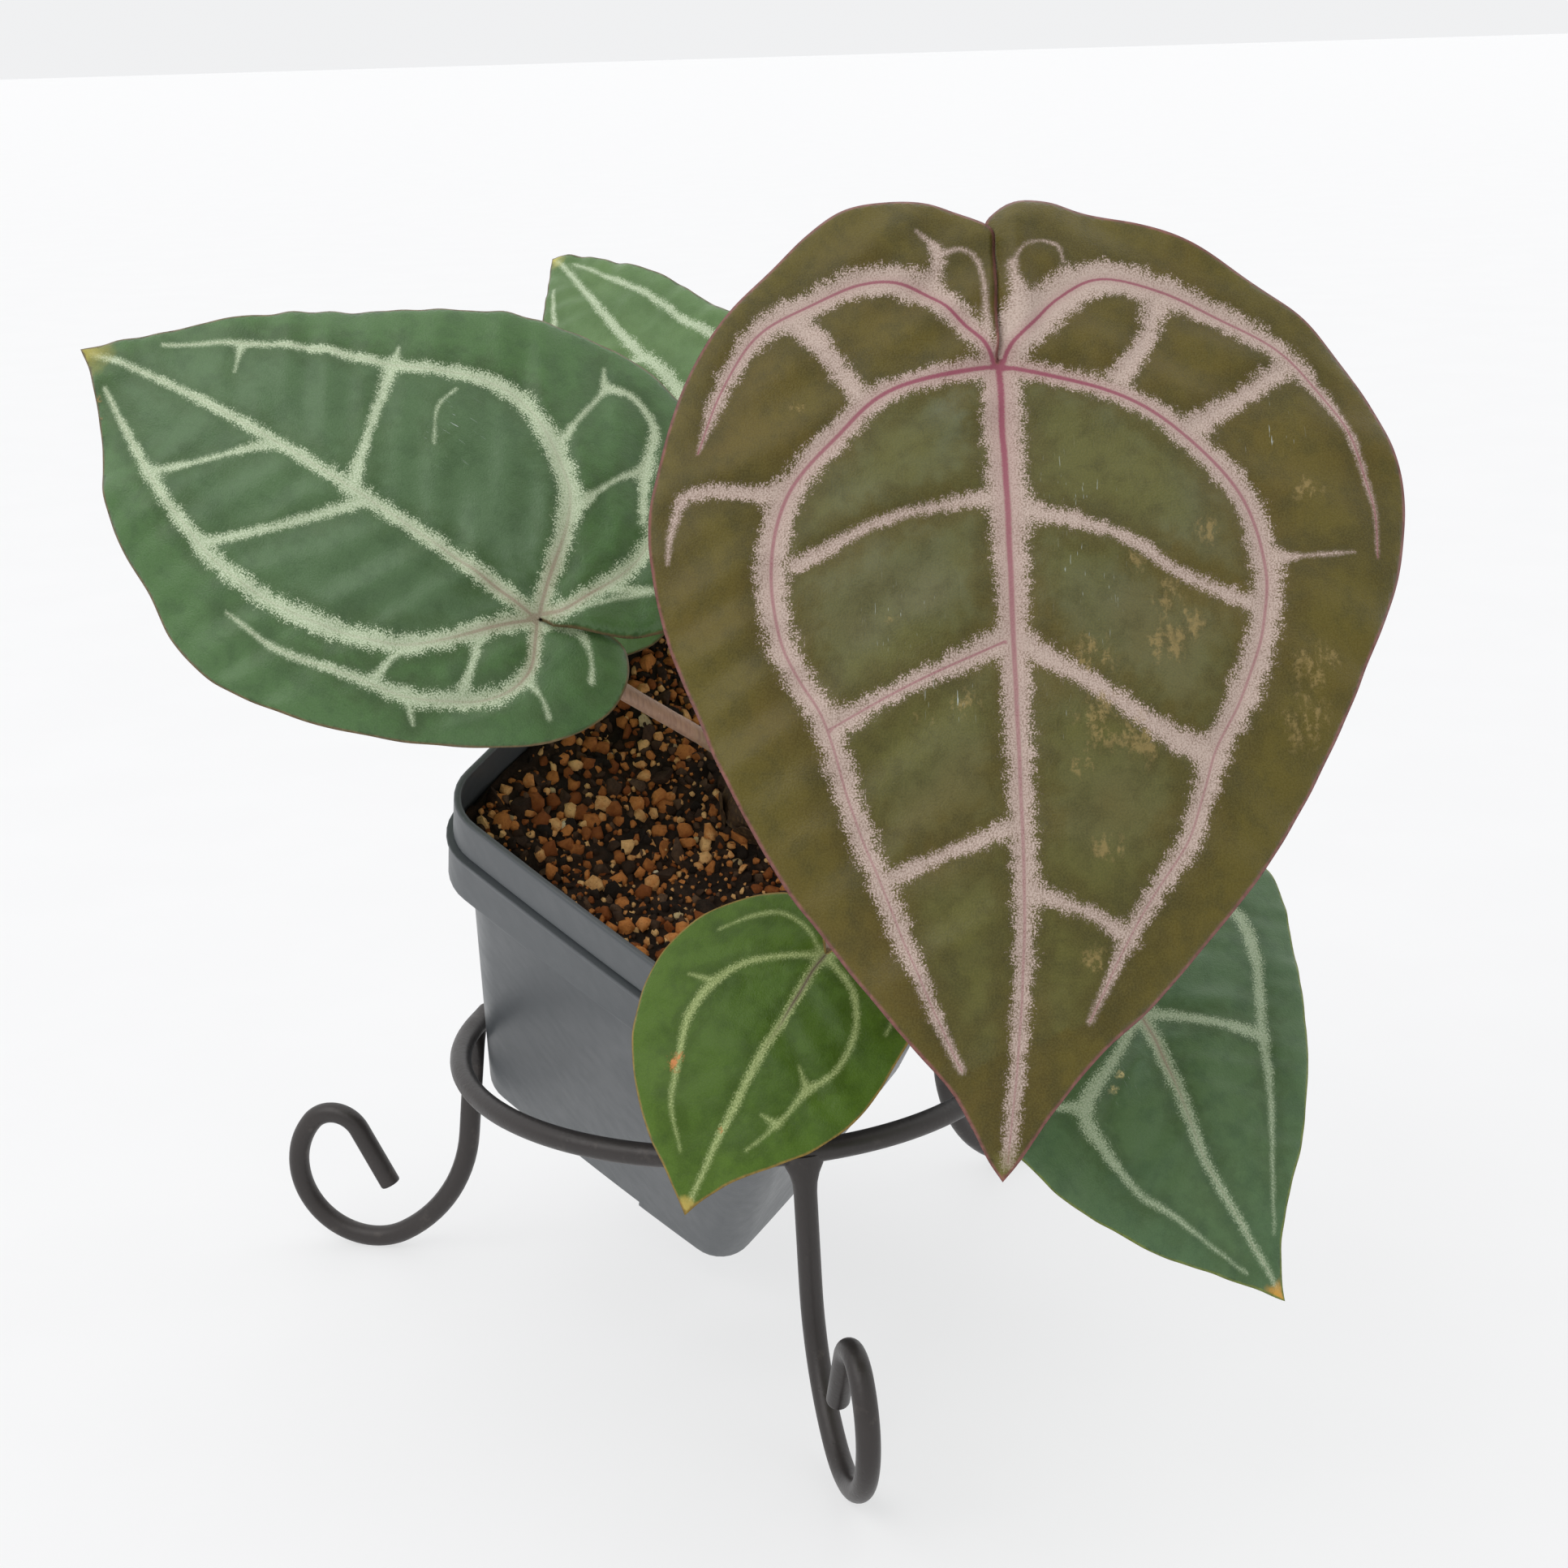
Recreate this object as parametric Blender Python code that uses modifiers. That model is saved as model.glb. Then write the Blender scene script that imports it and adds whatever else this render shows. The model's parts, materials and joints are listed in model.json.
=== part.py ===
# A potted anthurium, leaning in a wire ring on three scrolled legs.
# Sizes are in millimetres and are turned into metres when a mesh is made.
import math

import bmesh
import bpy
from mathutils import Matrix, Vector
from mathutils.geometry import delaunay_2d_cdt

MM = 0.001
GAP = 0.3  # the gap that touching pieces keep

# The stand: one wire for the ring and the legs
WIRE_R = 2.35
RING_R = 60.5
RING_Z = 57.5
LEG_S = 61.0  # how far from the ring's axis a leg starts
LEG_SLOPE = 6.8  # degrees off the vertical, outward
LEG_RUNS = ((27.0, 0), (34.7, 54), (17.1, 160), (7.1, 112), (14.9, 0))  # straight length, or radius and turn
LEG_AZIMUTHS = {"stand_leg_front": -78.4, "stand_leg_left": 165.0, "stand_leg_right": 40.0}

# The pot, upright in its own frame; then how it lies in the ring
POT_H = 118.5
COLLAR = 13.0
BAND = 14.5
WALL = 1.3
BASE_HALF, BODY_HALF, BAND_HALF, LEDGE_HALF, LIP_HALF = 36.6, 41.8, 45.1, 45.5, 44.7
BASE_CORNER, TOP_CORNER = 8.2, 9.2
BOW = 0.5  # the sides bow outward by this much
FLOOR = 4.5
CHANNEL_W, CHANNEL_H = 24.0, 3.0
SOIL_TOP = 110.0
POT_BASE = (-9.2, 29.1, 39.8)
LEAN_AZIMUTH, LEAN, SPIN = -78.2, 40.8, 53.1

# The crown and the leaf stalks
CROWN_R, CROWN_H = 7.0, 9.0
STALK_R = 1.7
STALK_RING = 3.7  # how far from the middle of the crown a stalk stands
STALK_ORDER = (5, 1, 3, 2, 4)  # round the crown, from its right side
STALK_END = 2.2  # from the middle of a blade to the end of its stalk

# Each leaf: where the stalk meets the blade, the tip, which way the upper side faces,
# how far the blade arches along its midrib, how far its sides turn back, and its half width.
# An outline goes from the notch round a lobe to the tip: (along the midrib, across it).
BLADE_T = 0.8
LEAVES = {
    1: dict(
        junction=(47.5, -93.5, 215.5), tip=(40.5, -155.5, 98.5),
        faces=(0.0, -0.88, 0.47), arch=9, cup=-5, half=60,
        left=((-26, -2), (-31, -9), (-30, -24), (-20, -37), (-4, -48), (14, -55), (30, -57), (51, -54),
            (73, -45), (98, -28), (116, -11), (133, 0)),
        right=((-26, 2), (-32, 8), (-30, 20), (-23, 35), (-9, 54), (8, 64), (23, 67), (40, 63),
            (63, 53), (85, 41), (107, 23), (124, 8), (133, 0)),
    ),
    2: dict(
        junction=(-33.5, -69.5, 170.0), tip=(-116.5, -43.0, 217.0),
        faces=(0.02, -0.85, 0.52), arch=8, cup=-6, half=40,
        left=((-12, -6), (-20, -14), (-22, -29), (-13, -44), (3, -53), (19, -53), (33, -49), (45, -41),
            (63, -29), (81, -15), (99, 0)),
        right=((-12, -1), (-19, 3), (-20, 9), (-13, 20), (8, 32), (21, 37), (33, 40), (42, 41),
            (60, 33), (76, 23), (93, 4), (99, 0)),
    ),
    3: dict(
        junction=(6.5, -25.0, 183.0), tip=(-34.0, 43.5, 224.0),
        faces=(-0.32, -0.62, 0.71), arch=4, cup=-4, half=35,
        left=((-16, -8), (-19, -20), (-14, -32), (-2, -38), (12, -37), (28, -30), (43, -20), (72, -8),
            (90, 0)),
        right=((-14, 7), (-18, 20), (-14, 33), (-6, 41), (8, 42), (25, 39), (45, 30), (60, 21),
            (74, 11), (90, 0)),
    ),
    4: dict(
        junction=(15.5, -109.0, 117.5), tip=(-9.0, -129.0, 80.0),
        faces=(-0.16, -0.78, 0.60), arch=5, cup=-4, half=28,
        left=((-7, -3), (-9, -8), (-4, -17), (3, -22), (13, -25), (22, -24), (30, -21), (41, -11),
            (45, -5), (50, 0)),
        right=((-7, 3), (-9, 9), (-6, 16), (1, 20), (10, 21), (18, 20), (26, 19), (33, 15), (43, 4),
            (50, 0)),
    ),
    5: dict(
        junction=(73.0, -93.5, 98.5), tip=(93.0, -127.0, 57.5),
        faces=(0.0, -0.78, 0.63), arch=6, cup=-5, half=32,
        left=((-13, -5), (-18, -16), (-14, -28), (-4, -34), (8, -34), (18, -31), (32, -25), (41, -18),
            (48, -9), (57, 0)),
        right=((-14, 4), (-25, 12), (-29, 24), (-26, 34), (-18, 38), (-3, 33), (9, 28), (20, 23),
            (33, 15), (46, 3), (57, 0)),
    ),
}

# Colour, roughness and metallic of each material
LOOKS = {
    "pot": ((0.10, 0.115, 0.125), 0.42, 0.0),
    "soil": ((0.035, 0.022, 0.015), 0.95, 0.0),
    "wire": ((0.075, 0.068, 0.062), 0.38, 0.6),
    "crown": ((0.16, 0.12, 0.05), 0.6, 0.0),
    "stalk": ((0.32, 0.17, 0.11), 0.5, 0.0),
    "bronze leaf": ((0.11, 0.10, 0.035), 0.45, 0.0),
    "green leaf": ((0.05, 0.16, 0.06), 0.45, 0.0),
}


def clear_scene():
    for obj in list(bpy.data.objects):
        bpy.data.objects.remove(obj)


def material(name):
    if name in bpy.data.materials:
        return bpy.data.materials[name]
    mat = bpy.data.materials.new(name)
    mat.use_nodes = True
    shader = mat.node_tree.nodes["Principled BSDF"]
    colour, roughness, metallic = LOOKS[name]
    shader.inputs["Base Color"].default_value = (*colour, 1)
    shader.inputs["Roughness"].default_value = roughness
    shader.inputs["Metallic"].default_value = metallic
    return mat


def add_object(name, mesh, look, matrix=None):
    """A mesh whose points are in millimetres becomes a node in metres."""
    if matrix is not None:
        mesh.transform(matrix)
    mesh.transform(Matrix.Scale(MM, 4))
    obj = bpy.data.objects.new(name, mesh)
    mesh.materials.append(material(look))
    parts.objects.link(obj)
    return obj


def mesh_of(bm, name):
    bmesh.ops.recalc_face_normals(bm, faces=bm.faces)
    mesh = bpy.data.meshes.new(name)
    bm.to_mesh(mesh)
    bm.free()
    return mesh


def tube(name, points, radius, look):
    """A round rod along a line of points, with closed ends."""
    curve = bpy.data.curves.new(name, "CURVE")
    curve.dimensions = "3D"
    curve.bevel_depth = radius
    curve.bevel_resolution = 2
    curve.use_fill_caps = True
    spline = curve.splines.new("POLY")
    spline.points.add(len(points) - 1)
    for place, point in zip(spline.points, points):
        place.co = (*point, 1)
    guide = bpy.data.objects.new(name + "_path", curve)
    mesh = bpy.data.meshes.new_from_object(guide)
    bpy.data.objects.remove(guide)
    bm = bmesh.new()
    bm.from_mesh(mesh)
    bmesh.ops.remove_doubles(bm, verts=bm.verts, dist=0.0001)
    bpy.data.meshes.remove(mesh)
    return add_object(name, mesh_of(bm, name), look)


def rounded_square(half, corner, z, bow=BOW, steps=4):
    """A square section with round corners, whose sides bow outward a little."""
    ring = []
    for quarter in range(4):
        turn = Matrix.Rotation(math.radians(90 * quarter), 3, "Z")
        for i in range(steps + 1):
            angle = math.radians(90 * i / steps)
            flat = half - corner
            ring.append(turn @ Vector((flat + corner * math.cos(angle), flat + corner * math.sin(angle), z)))
        ring.append(turn @ Vector((0, half + bow, z)))
    return ring


def loft(name, sections, look, matrix, cutters=()):
    """One closed solid through a list of sections with equal numbers of points."""
    bm = bmesh.new()
    rings = [[bm.verts.new(point) for point in section] for section in sections]
    for low, high in zip(rings, rings[1:]):
        for i in range(len(low)):
            j = (i + 1) % len(low)
            bm.faces.new((low[i], low[j], high[j], high[i]))
    bm.faces.new(rings[0][::-1])
    bm.faces.new(rings[-1])
    obj = add_object(name, mesh_of(bm, name), look, None)
    for cutter in cutters:
        cut(obj, cutter)
    obj.data.transform(Matrix.Scale(MM, 4) @ matrix @ Matrix.Scale(1 / MM, 4))
    return obj


def box(name, size, centre):
    """A hidden cutter, in millimetres."""
    bm = bmesh.new()
    bmesh.ops.create_cube(bm, size=1, matrix=Matrix.Translation(centre) @ Matrix.Diagonal((*size, 1)))
    mesh = mesh_of(bm, name)
    mesh.transform(Matrix.Scale(MM, 4))
    obj = bpy.data.objects.new(name, mesh)
    obj.hide_render = True
    obj.display_type = "WIRE"
    helpers.objects.link(obj)
    return obj


def cut(obj, cutter):
    """Cuts at once, so that the piece can be moved afterwards."""
    modifier = obj.modifiers.new("cut", "BOOLEAN")
    modifier.operation = "DIFFERENCE"
    modifier.solver = "EXACT"
    modifier.object = cutter
    bpy.context.view_layer.update()
    result = bpy.data.meshes.new_from_object(obj.evaluated_get(bpy.context.evaluated_depsgraph_get()))
    obj.modifiers.clear()
    obj.data = result


# Stand
def leg_profile():
    """Points (distance from the axis, height) down one leg and round its scroll."""
    heading = math.radians(-90 + LEG_SLOPE)
    s = LEG_S
    z = RING_Z
    points = [(s, z)]
    for size, turn in LEG_RUNS:
        if turn == 0:
            s += size * math.cos(heading)
            z += size * math.sin(heading)
            points.append((s, z))
            continue
        centre = (s - size * math.sin(heading), z + size * math.cos(heading))
        steps = max(3, round(turn / 13))
        for i in range(1, steps + 1):
            angle = heading + math.radians(turn) * i / steps
            points.append((centre[0] + size * math.sin(angle), centre[1] - size * math.cos(angle)))
        heading += math.radians(turn)
        s, z = points[-1]
    return points


def build_stand():
    bpy.ops.mesh.primitive_torus_add(
        major_segments=60, minor_segments=8, major_radius=RING_R, minor_radius=WIRE_R, location=(0, 0, 0)
    )
    ring = bpy.context.active_object
    mesh = ring.data.copy()
    bpy.data.objects.remove(ring)
    add_object("stand_ring", mesh, "wire", Matrix.Translation((0, 0, RING_Z)))

    profile = leg_profile()
    lowest = min(z for s, z in profile)
    drop = WIRE_R - 0.25 - lowest
    top = RING_Z - WIRE_R - GAP
    slope = math.tan(math.radians(LEG_SLOPE))
    profile = [(LEG_S + (RING_Z - top) * slope, top - drop)] + profile[1:]
    for name, azimuth in LEG_AZIMUTHS.items():
        turn = math.radians(azimuth)
        points = [Vector((s * math.cos(turn), s * math.sin(turn), z + drop)) for s, z in profile]
        leg = tube(name, points, WIRE_R, "wire")
        cut(leg, box(name + "_floor", (400, 400, 10), (0, 0, -5)))


# Pot and soil, both upright, then laid into the ring together
def pot_place():
    azimuth = math.radians(LEAN_AZIMUTH)
    sideways = Vector((-math.sin(azimuth), math.cos(azimuth), 0))
    lean = Matrix.Rotation(math.radians(LEAN), 4, sideways)
    return Matrix.Translation(POT_BASE) @ lean @ Matrix.Rotation(math.radians(SPIN), 4, "Z")


def build_pot(place):
    band_z = POT_H - COLLAR - BAND
    ledge_z = POT_H - COLLAR
    slope = (BODY_HALF - BASE_HALF) / band_z
    inner_base = BASE_HALF + slope * FLOOR - WALL
    inner_top = LIP_HALF - WALL
    sections = [
        rounded_square(BASE_HALF - 1.2, BASE_CORNER - 1.0, 0),
        rounded_square(BASE_HALF, BASE_CORNER, 1.2),
        rounded_square(BODY_HALF, TOP_CORNER, band_z),
        rounded_square(BAND_HALF, TOP_CORNER, band_z + 0.4),
        rounded_square(LEDGE_HALF, TOP_CORNER, ledge_z),
        rounded_square(LIP_HALF + 0.2, TOP_CORNER, ledge_z + 0.5),
        rounded_square(LIP_HALF, TOP_CORNER, POT_H - 0.4),
        rounded_square(LIP_HALF - 0.4, TOP_CORNER, POT_H),
        rounded_square(inner_top + 0.3, TOP_CORNER - 1, POT_H),
        rounded_square(inner_top, TOP_CORNER - 1, POT_H - 0.4),
        rounded_square(inner_top, TOP_CORNER - 1, band_z + 2),
        rounded_square(BODY_HALF - WALL, TOP_CORNER - 1, band_z - 1.5),
        rounded_square(inner_base, BASE_CORNER - 1, FLOOR),
    ]
    channels = [
        box("channel_x", (120, CHANNEL_W, CHANNEL_H * 2), (0, 0, 0)),
        box("channel_y", (CHANNEL_W, 120, CHANNEL_H * 2), (0, 0, 0)),
    ]
    loft("pot", sections, "pot", place, channels)

    fill = [
        rounded_square(inner_base - GAP, BASE_CORNER - 1, FLOOR + GAP),
        rounded_square(BODY_HALF - WALL - GAP, TOP_CORNER - 1, band_z - 1.5),
        rounded_square(inner_top - GAP, TOP_CORNER - 1, band_z + 2.3),
        rounded_square(inner_top - GAP, TOP_CORNER - 1, SOIL_TOP - 1),
        rounded_square(inner_top - 3, TOP_CORNER - 2, SOIL_TOP, 0),
    ]
    loft("soil", fill, "soil", place)


# Leaves
def smooth(points, per_span):
    """A smooth line through the points, with the first and the last kept sharp."""
    ends = [2 * points[0] - points[1], *points, 2 * points[-1] - points[-2]]
    line = []
    for a, b, c, d in zip(ends, ends[1:], ends[2:], ends[3:]):
        for i in range(per_span):
            t = i / per_span
            bend = (2 * a - 5 * b + 4 * c - d) * t**2 + (3 * b - a - 3 * c + d) * t**3
            line.append(0.5 * (2 * b + (c - a) * t + bend))
    return line + [points[-1]]


def leaf_frame(leaf):
    """The midrib's direction, the direction across it and the upper side's normal."""
    along = Vector(leaf["tip"]) - Vector(leaf["junction"])
    length = along.length
    along.normalize()
    normal = Vector(leaf["faces"])
    normal = (normal - normal.dot(along) * along).normalized()
    return along, normal.cross(along), normal, length


def blade_height(leaf, length, u, v):
    t = u / length
    arch = leaf["arch"] * 4 * t * (1 - t) * (0.7 if t < 0 else 1)
    return arch + leaf["cup"] * (v / leaf["half"]) ** 2


def blade_outline(leaf):
    halves = []
    for side in ("left", "right"):
        points = [Vector((0, 0))] + [Vector(point) for point in leaf[side]]
        halves.append(smooth(points, 2))
    return halves[0] + halves[1][-2:0:-1]


def inside(point, outline):
    crossings = 0
    for a, b in zip(outline, outline[1:] + outline[:1]):
        if (a.y > point.y) != (b.y > point.y):
            crossings += point.x < a.x + (b.x - a.x) * (point.y - a.y) / (b.y - a.y)
    return crossings % 2 == 1


def build_leaf(number, leaf):
    """The outline is filled with triangles, bent to the blade's curve and given its thickness."""
    outline = blade_outline(leaf)
    step = 11 if number == 1 else 9
    count = 200 // step
    places = range(-count, count)
    grid = [Vector((step * i, step * (j + 0.5 * (i % 2)))) for i in places for j in places]
    clear = step * 0.45
    filling = [p for p in grid if inside(p, outline) and min((p - q).length for q in outline) > clear]
    ends = [(i, (i + 1) % len(outline)) for i in range(len(outline))]
    points, _, faces, *_ = delaunay_2d_cdt(outline + filling, ends, [], 1, 0.001)
    along, across, normal, length = leaf_frame(leaf)
    origin = Vector(leaf["junction"])
    bm = bmesh.new()
    verts = []
    for point in points:
        u, v = point
        lift = blade_height(leaf, length, u, v)
        verts.append(bm.verts.new(origin + u * along + v * across + lift * normal))
    for face in faces:
        bm.faces.new([verts[i] for i in face])
    mesh = bpy.data.meshes.new(f"leaf_{number}")
    bm.to_mesh(mesh)
    bm.free()
    obj = add_object(f"leaf_{number}", mesh, "bronze leaf" if number == 1 else "green leaf")
    thickness = obj.modifiers.new("thickness", "SOLIDIFY")
    thickness.thickness = BLADE_T * MM
    thickness.offset = 0


def build_crown(place):
    """The short stem on the soil that the stalks grow from."""
    profile = ((CROWN_R - 1.0, 0), (CROWN_R, 2.0), (CROWN_R - 0.6, CROWN_H - 3), (CROWN_R - 1.8, CROWN_H))
    sections = []
    for radius, z in profile:
        height = SOIL_TOP + GAP + z
        turns = [math.radians(20 * i) for i in range(18)]
        sections.append([Vector((radius * math.cos(a), radius * math.sin(a), height)) for a in turns])
    loft("crown", sections, "crown", place)


def build_stalk(number, leaf, place):
    """A stalk rises from the crown and meets the back of its blade at the notch."""
    along, across, normal, length = leaf_frame(leaf)
    top = SOIL_TOP + GAP + CROWN_H + GAP + 0.15
    up = (place.to_3x3() @ Vector((0, 0, 1))).normalized()
    foot_angle = math.radians(72 * STALK_ORDER.index(number) - 85)
    foot = place @ Vector((STALK_RING * math.cos(foot_angle), STALK_RING * math.sin(foot_angle), top))
    into = (normal * 0.85 + along * 0.5).normalized()
    end = Vector(leaf["junction"]) - normal * STALK_END
    reach = (end - foot).length
    controls = (foot, foot + up * reach * 0.35, end - into * reach * 0.3, end)
    points = []
    for i in range(13):
        t = i / 12
        weights = ((1 - t) ** 3, 3 * t * (1 - t) ** 2, 3 * t**2 * (1 - t), t**3)
        points.append(sum((w * c for w, c in zip(weights, controls)), Vector()))
    tube(f"petiole_{number}", points, STALK_R, "stalk")


clear_scene()
parts = bpy.data.collections.new("potted anthurium")
helpers = bpy.data.collections.new("cutters")
for collection in (parts, helpers):
    bpy.context.scene.collection.children.link(collection)

build_stand()
lying = pot_place()
build_pot(lying)
build_crown(lying)
for number, leaf in LEAVES.items():
    build_leaf(number, leaf)
    build_stalk(number, leaf, lying)

# The middle of the bounding box's bottom becomes the origin
bpy.context.view_layer.update()
graph = bpy.context.evaluated_depsgraph_get()
corners = []
for obj in parts.objects:
    solid = obj.evaluated_get(graph)
    corners += [vertex.co.copy() for vertex in solid.data.vertices]
low = Vector(min(c[i] for c in corners) for i in range(3))
high = Vector(max(c[i] for c in corners) for i in range(3))
shift = Vector((-(low.x + high.x) / 2, -(low.y + high.y) / 2, -low.z))
for obj in parts.objects:
    obj.data.transform(Matrix.Translation(shift))
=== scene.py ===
# %% [markdown]
# # A potted anthurium in a wire ring
#
# The real object is a young anthurium in a square nursery pot. The pot lies wedged at a slant in the
# ring of a small iron stand, so that its big bronze leaf hangs forward over the rim.
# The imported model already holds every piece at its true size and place, as plain solids. This script
# loads those solids as a fixed frame and makes a finished piece for each of them.

# %% Load the frame
import json
import math

import bmesh
import bpy
import numpy as np
from mathutils import Matrix, Vector
from mathutils.geometry import delaunay_2d_cdt

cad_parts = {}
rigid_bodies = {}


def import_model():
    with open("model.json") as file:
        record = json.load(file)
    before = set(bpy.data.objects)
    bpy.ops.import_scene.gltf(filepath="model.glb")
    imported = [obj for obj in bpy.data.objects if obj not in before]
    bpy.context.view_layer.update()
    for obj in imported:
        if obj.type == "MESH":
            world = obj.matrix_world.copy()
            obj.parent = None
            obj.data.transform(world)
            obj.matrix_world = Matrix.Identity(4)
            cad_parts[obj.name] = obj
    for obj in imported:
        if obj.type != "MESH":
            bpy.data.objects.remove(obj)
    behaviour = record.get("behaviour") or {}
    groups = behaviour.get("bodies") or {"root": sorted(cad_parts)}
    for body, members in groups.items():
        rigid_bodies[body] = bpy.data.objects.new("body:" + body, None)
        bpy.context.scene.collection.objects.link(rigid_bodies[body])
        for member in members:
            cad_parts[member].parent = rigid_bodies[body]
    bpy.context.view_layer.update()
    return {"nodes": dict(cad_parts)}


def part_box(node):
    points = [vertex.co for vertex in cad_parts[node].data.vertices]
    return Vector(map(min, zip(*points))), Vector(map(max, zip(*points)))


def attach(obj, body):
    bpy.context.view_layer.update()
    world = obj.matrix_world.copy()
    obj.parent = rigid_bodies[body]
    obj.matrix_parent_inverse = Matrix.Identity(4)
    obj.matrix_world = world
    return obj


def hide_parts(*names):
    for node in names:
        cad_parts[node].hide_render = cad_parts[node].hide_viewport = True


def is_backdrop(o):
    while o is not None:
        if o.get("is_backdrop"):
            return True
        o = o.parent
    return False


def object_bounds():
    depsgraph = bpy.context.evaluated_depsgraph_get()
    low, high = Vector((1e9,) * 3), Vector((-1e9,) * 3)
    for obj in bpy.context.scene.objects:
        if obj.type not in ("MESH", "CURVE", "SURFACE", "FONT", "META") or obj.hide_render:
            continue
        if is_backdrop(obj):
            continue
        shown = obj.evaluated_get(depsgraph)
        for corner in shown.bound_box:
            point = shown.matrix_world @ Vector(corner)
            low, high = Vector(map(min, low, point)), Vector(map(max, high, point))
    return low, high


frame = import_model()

print("solids in the frame:", ", ".join(sorted(frame["nodes"])))

# %% [markdown]
# ## One place for all sizes
#
# A maker measures in millimetres and Blender works in metres. The sizes below are in millimetres from
# the point on the table under the middle of the ring, because the stand is the one piece with a clear
# middle. The ring's own box in the frame says where that point is, so nothing is fitted by eye.

# %% Millimetres
MM = 0.001
ring_low, ring_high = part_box("stand_ring")
UNDER_RING = np.array([(ring_low.x + ring_high.x) / 2, (ring_low.y + ring_high.y) / 2, 0.0])


def placed(points):
    """Millimetres from the point under the ring become metres in the frame."""
    return np.asarray(points, float) * MM + UNDER_RING


print("point under the ring, mm:", np.round(UNDER_RING / MM, 2))

# %% [markdown]
# ## The camera
#
# The picture was taken from a little above, with a short telephoto lens: the two rims of the ring and
# the scrolls of the legs give the height, the tilt and the lens. Three directions make the camera's
# matrix. That keeps the slight roll of a hand-held picture, which a Track To constraint would lose.

# %% Camera
CAMERA_AT = (0.0, -512.724, 268.612)
YAW, PITCH, ROLL = math.radians(1.340), math.radians(16.58), math.radians(-1.676)

ahead = Vector((math.sin(YAW) * math.cos(PITCH), math.cos(YAW) * math.cos(PITCH), -math.sin(PITCH)))
level = Vector((math.cos(YAW), -math.sin(YAW), 0))
above = level.cross(ahead)
side = level * math.cos(ROLL) + above * math.sin(ROLL)
top = above * math.cos(ROLL) - level * math.sin(ROLL)

lens = bpy.data.cameras.new("short_telephoto")
lens.lens = 57.46
lens.sensor_width = 36
lens.clip_start = 0.01
camera = bpy.data.objects.new("camera", lens)
camera.matrix_world = Matrix((side, top, -ahead)).transposed().to_4x4()
camera.location = placed(CAMERA_AT)
bpy.context.scene.collection.objects.link(camera)
bpy.context.scene.camera = camera
print("camera at, m:", np.round(camera.location, 4))

# %% [markdown]
# ## Colours and nodes
#
# A colour picker shows colours as a screen does, and a shader wants amounts of light, so `srgb` turns
# one into the other. `Finish` is a small helper for building a material: every method adds one node
# and returns its output, so a finish reads as a list of steps from the pattern to the colour.

# %% A helper for finishes
def srgb(code):
    """A screen colour such as "#b59a8f" as the light values that a shader takes."""
    parts = [int(code[i:i + 2], 16) / 255 for i in (1, 3, 5)]
    return tuple(c / 12.92 if c <= 0.04045 else ((c + 0.055) / 1.055) ** 2.4 for c in parts) + (1.0,)


class Finish:
    """A material under construction. `unit` is how many millimetres one unit of its coordinates spans."""

    def __init__(self, name, unit=1000.0, **sockets):
        self.material = bpy.data.materials.new(name)
        self.material.use_nodes = True
        self.tree = self.material.node_tree
        self.shader = self.tree.nodes["Principled BSDF"]
        self.unit = unit
        for label, value in sockets.items():
            self.shader.inputs[label.replace("_", " ")].default_value = value

    def add(self, kind, inputs, out=0, **settings):
        node = self.tree.nodes.new(kind)
        for key, value in settings.items():
            setattr(node, key, value)
        for key, value in inputs.items():
            if isinstance(value, bpy.types.NodeSocket):
                self.tree.links.new(value, node.inputs[key])
            else:
                node.inputs[key].default_value = value
        return node.outputs[out]

    def place(self):
        """The point's own place in the object, in metres."""
        return self.add("ShaderNodeTexCoord", {}, out="Object")

    def attribute(self, name):
        return self.add("ShaderNodeAttribute", {}, out="Fac", attribute_name=name)

    def turned(self, where, scale, turn=0.0):
        """Stretches a pattern along its axes and turns it in its plane."""
        inputs = {"Vector": where, "Scale": scale, "Rotation": (0, 0, math.radians(turn))}
        return self.add("ShaderNodeMapping", inputs)

    def noise(self, where, size, detail=2.0, rough=0.5):
        """Soft random patches about `size` millimetres across, from 0 to 1."""
        inputs = {"Vector": where, "Scale": self.unit / size, "Detail": detail, "Roughness": rough}
        return self.add("ShaderNodeTexNoise", inputs)

    def cells(self, where, size, out="Distance"):
        inputs = {"Vector": where, "Scale": self.unit / size}
        return self.add("ShaderNodeTexVoronoi", inputs, out=out)

    def between(self, value, low, high, least=0.0, most=1.0):
        """Goes smoothly from `least` to `most` as the value goes from `low` to `high`."""
        inputs = {"Value": value, "From Min": low, "From Max": high, "To Min": least, "To Max": most}
        return self.add("ShaderNodeMapRange", inputs, interpolation_type="SMOOTHSTEP")

    def math(self, operation, first, second=0.0):
        return self.add("ShaderNodeMath", {0: first, 1: second}, operation=operation)

    def shaken(self, value, noise, amount):
        """The value, pushed up and down by a noise pattern."""
        push = self.add("ShaderNodeMath", {0: noise, 1: -0.5, 2: 0.0}, operation="ADD")
        return self.add("ShaderNodeMath", {0: push, 1: amount, 2: value}, operation="MULTIPLY_ADD")

    def mix(self, share, first, second):
        return self.add("ShaderNodeMix", {0: share, 6: first, 7: second}, out=2, data_type="RGBA")

    def bumps(self, height, depth, under=None):
        """Small relief, `depth` millimetres deep, on top of the relief given before it."""
        inputs = {"Strength": 1.0, "Distance": depth * MM, "Height": height}
        if under is not None:
            inputs["Normal"] = under
        return self.add("ShaderNodeBump", inputs)

    def done(self, colour=None, roughness=None, normal=None):
        for label, value in (("Base Color", colour), ("Roughness", roughness), ("Normal", normal)):
            if value is not None:
                self.tree.links.new(value, self.shader.inputs[label])
        return self.material


print("orange crumb as light:", np.round(srgb("#a5622d")[:3], 3))

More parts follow.
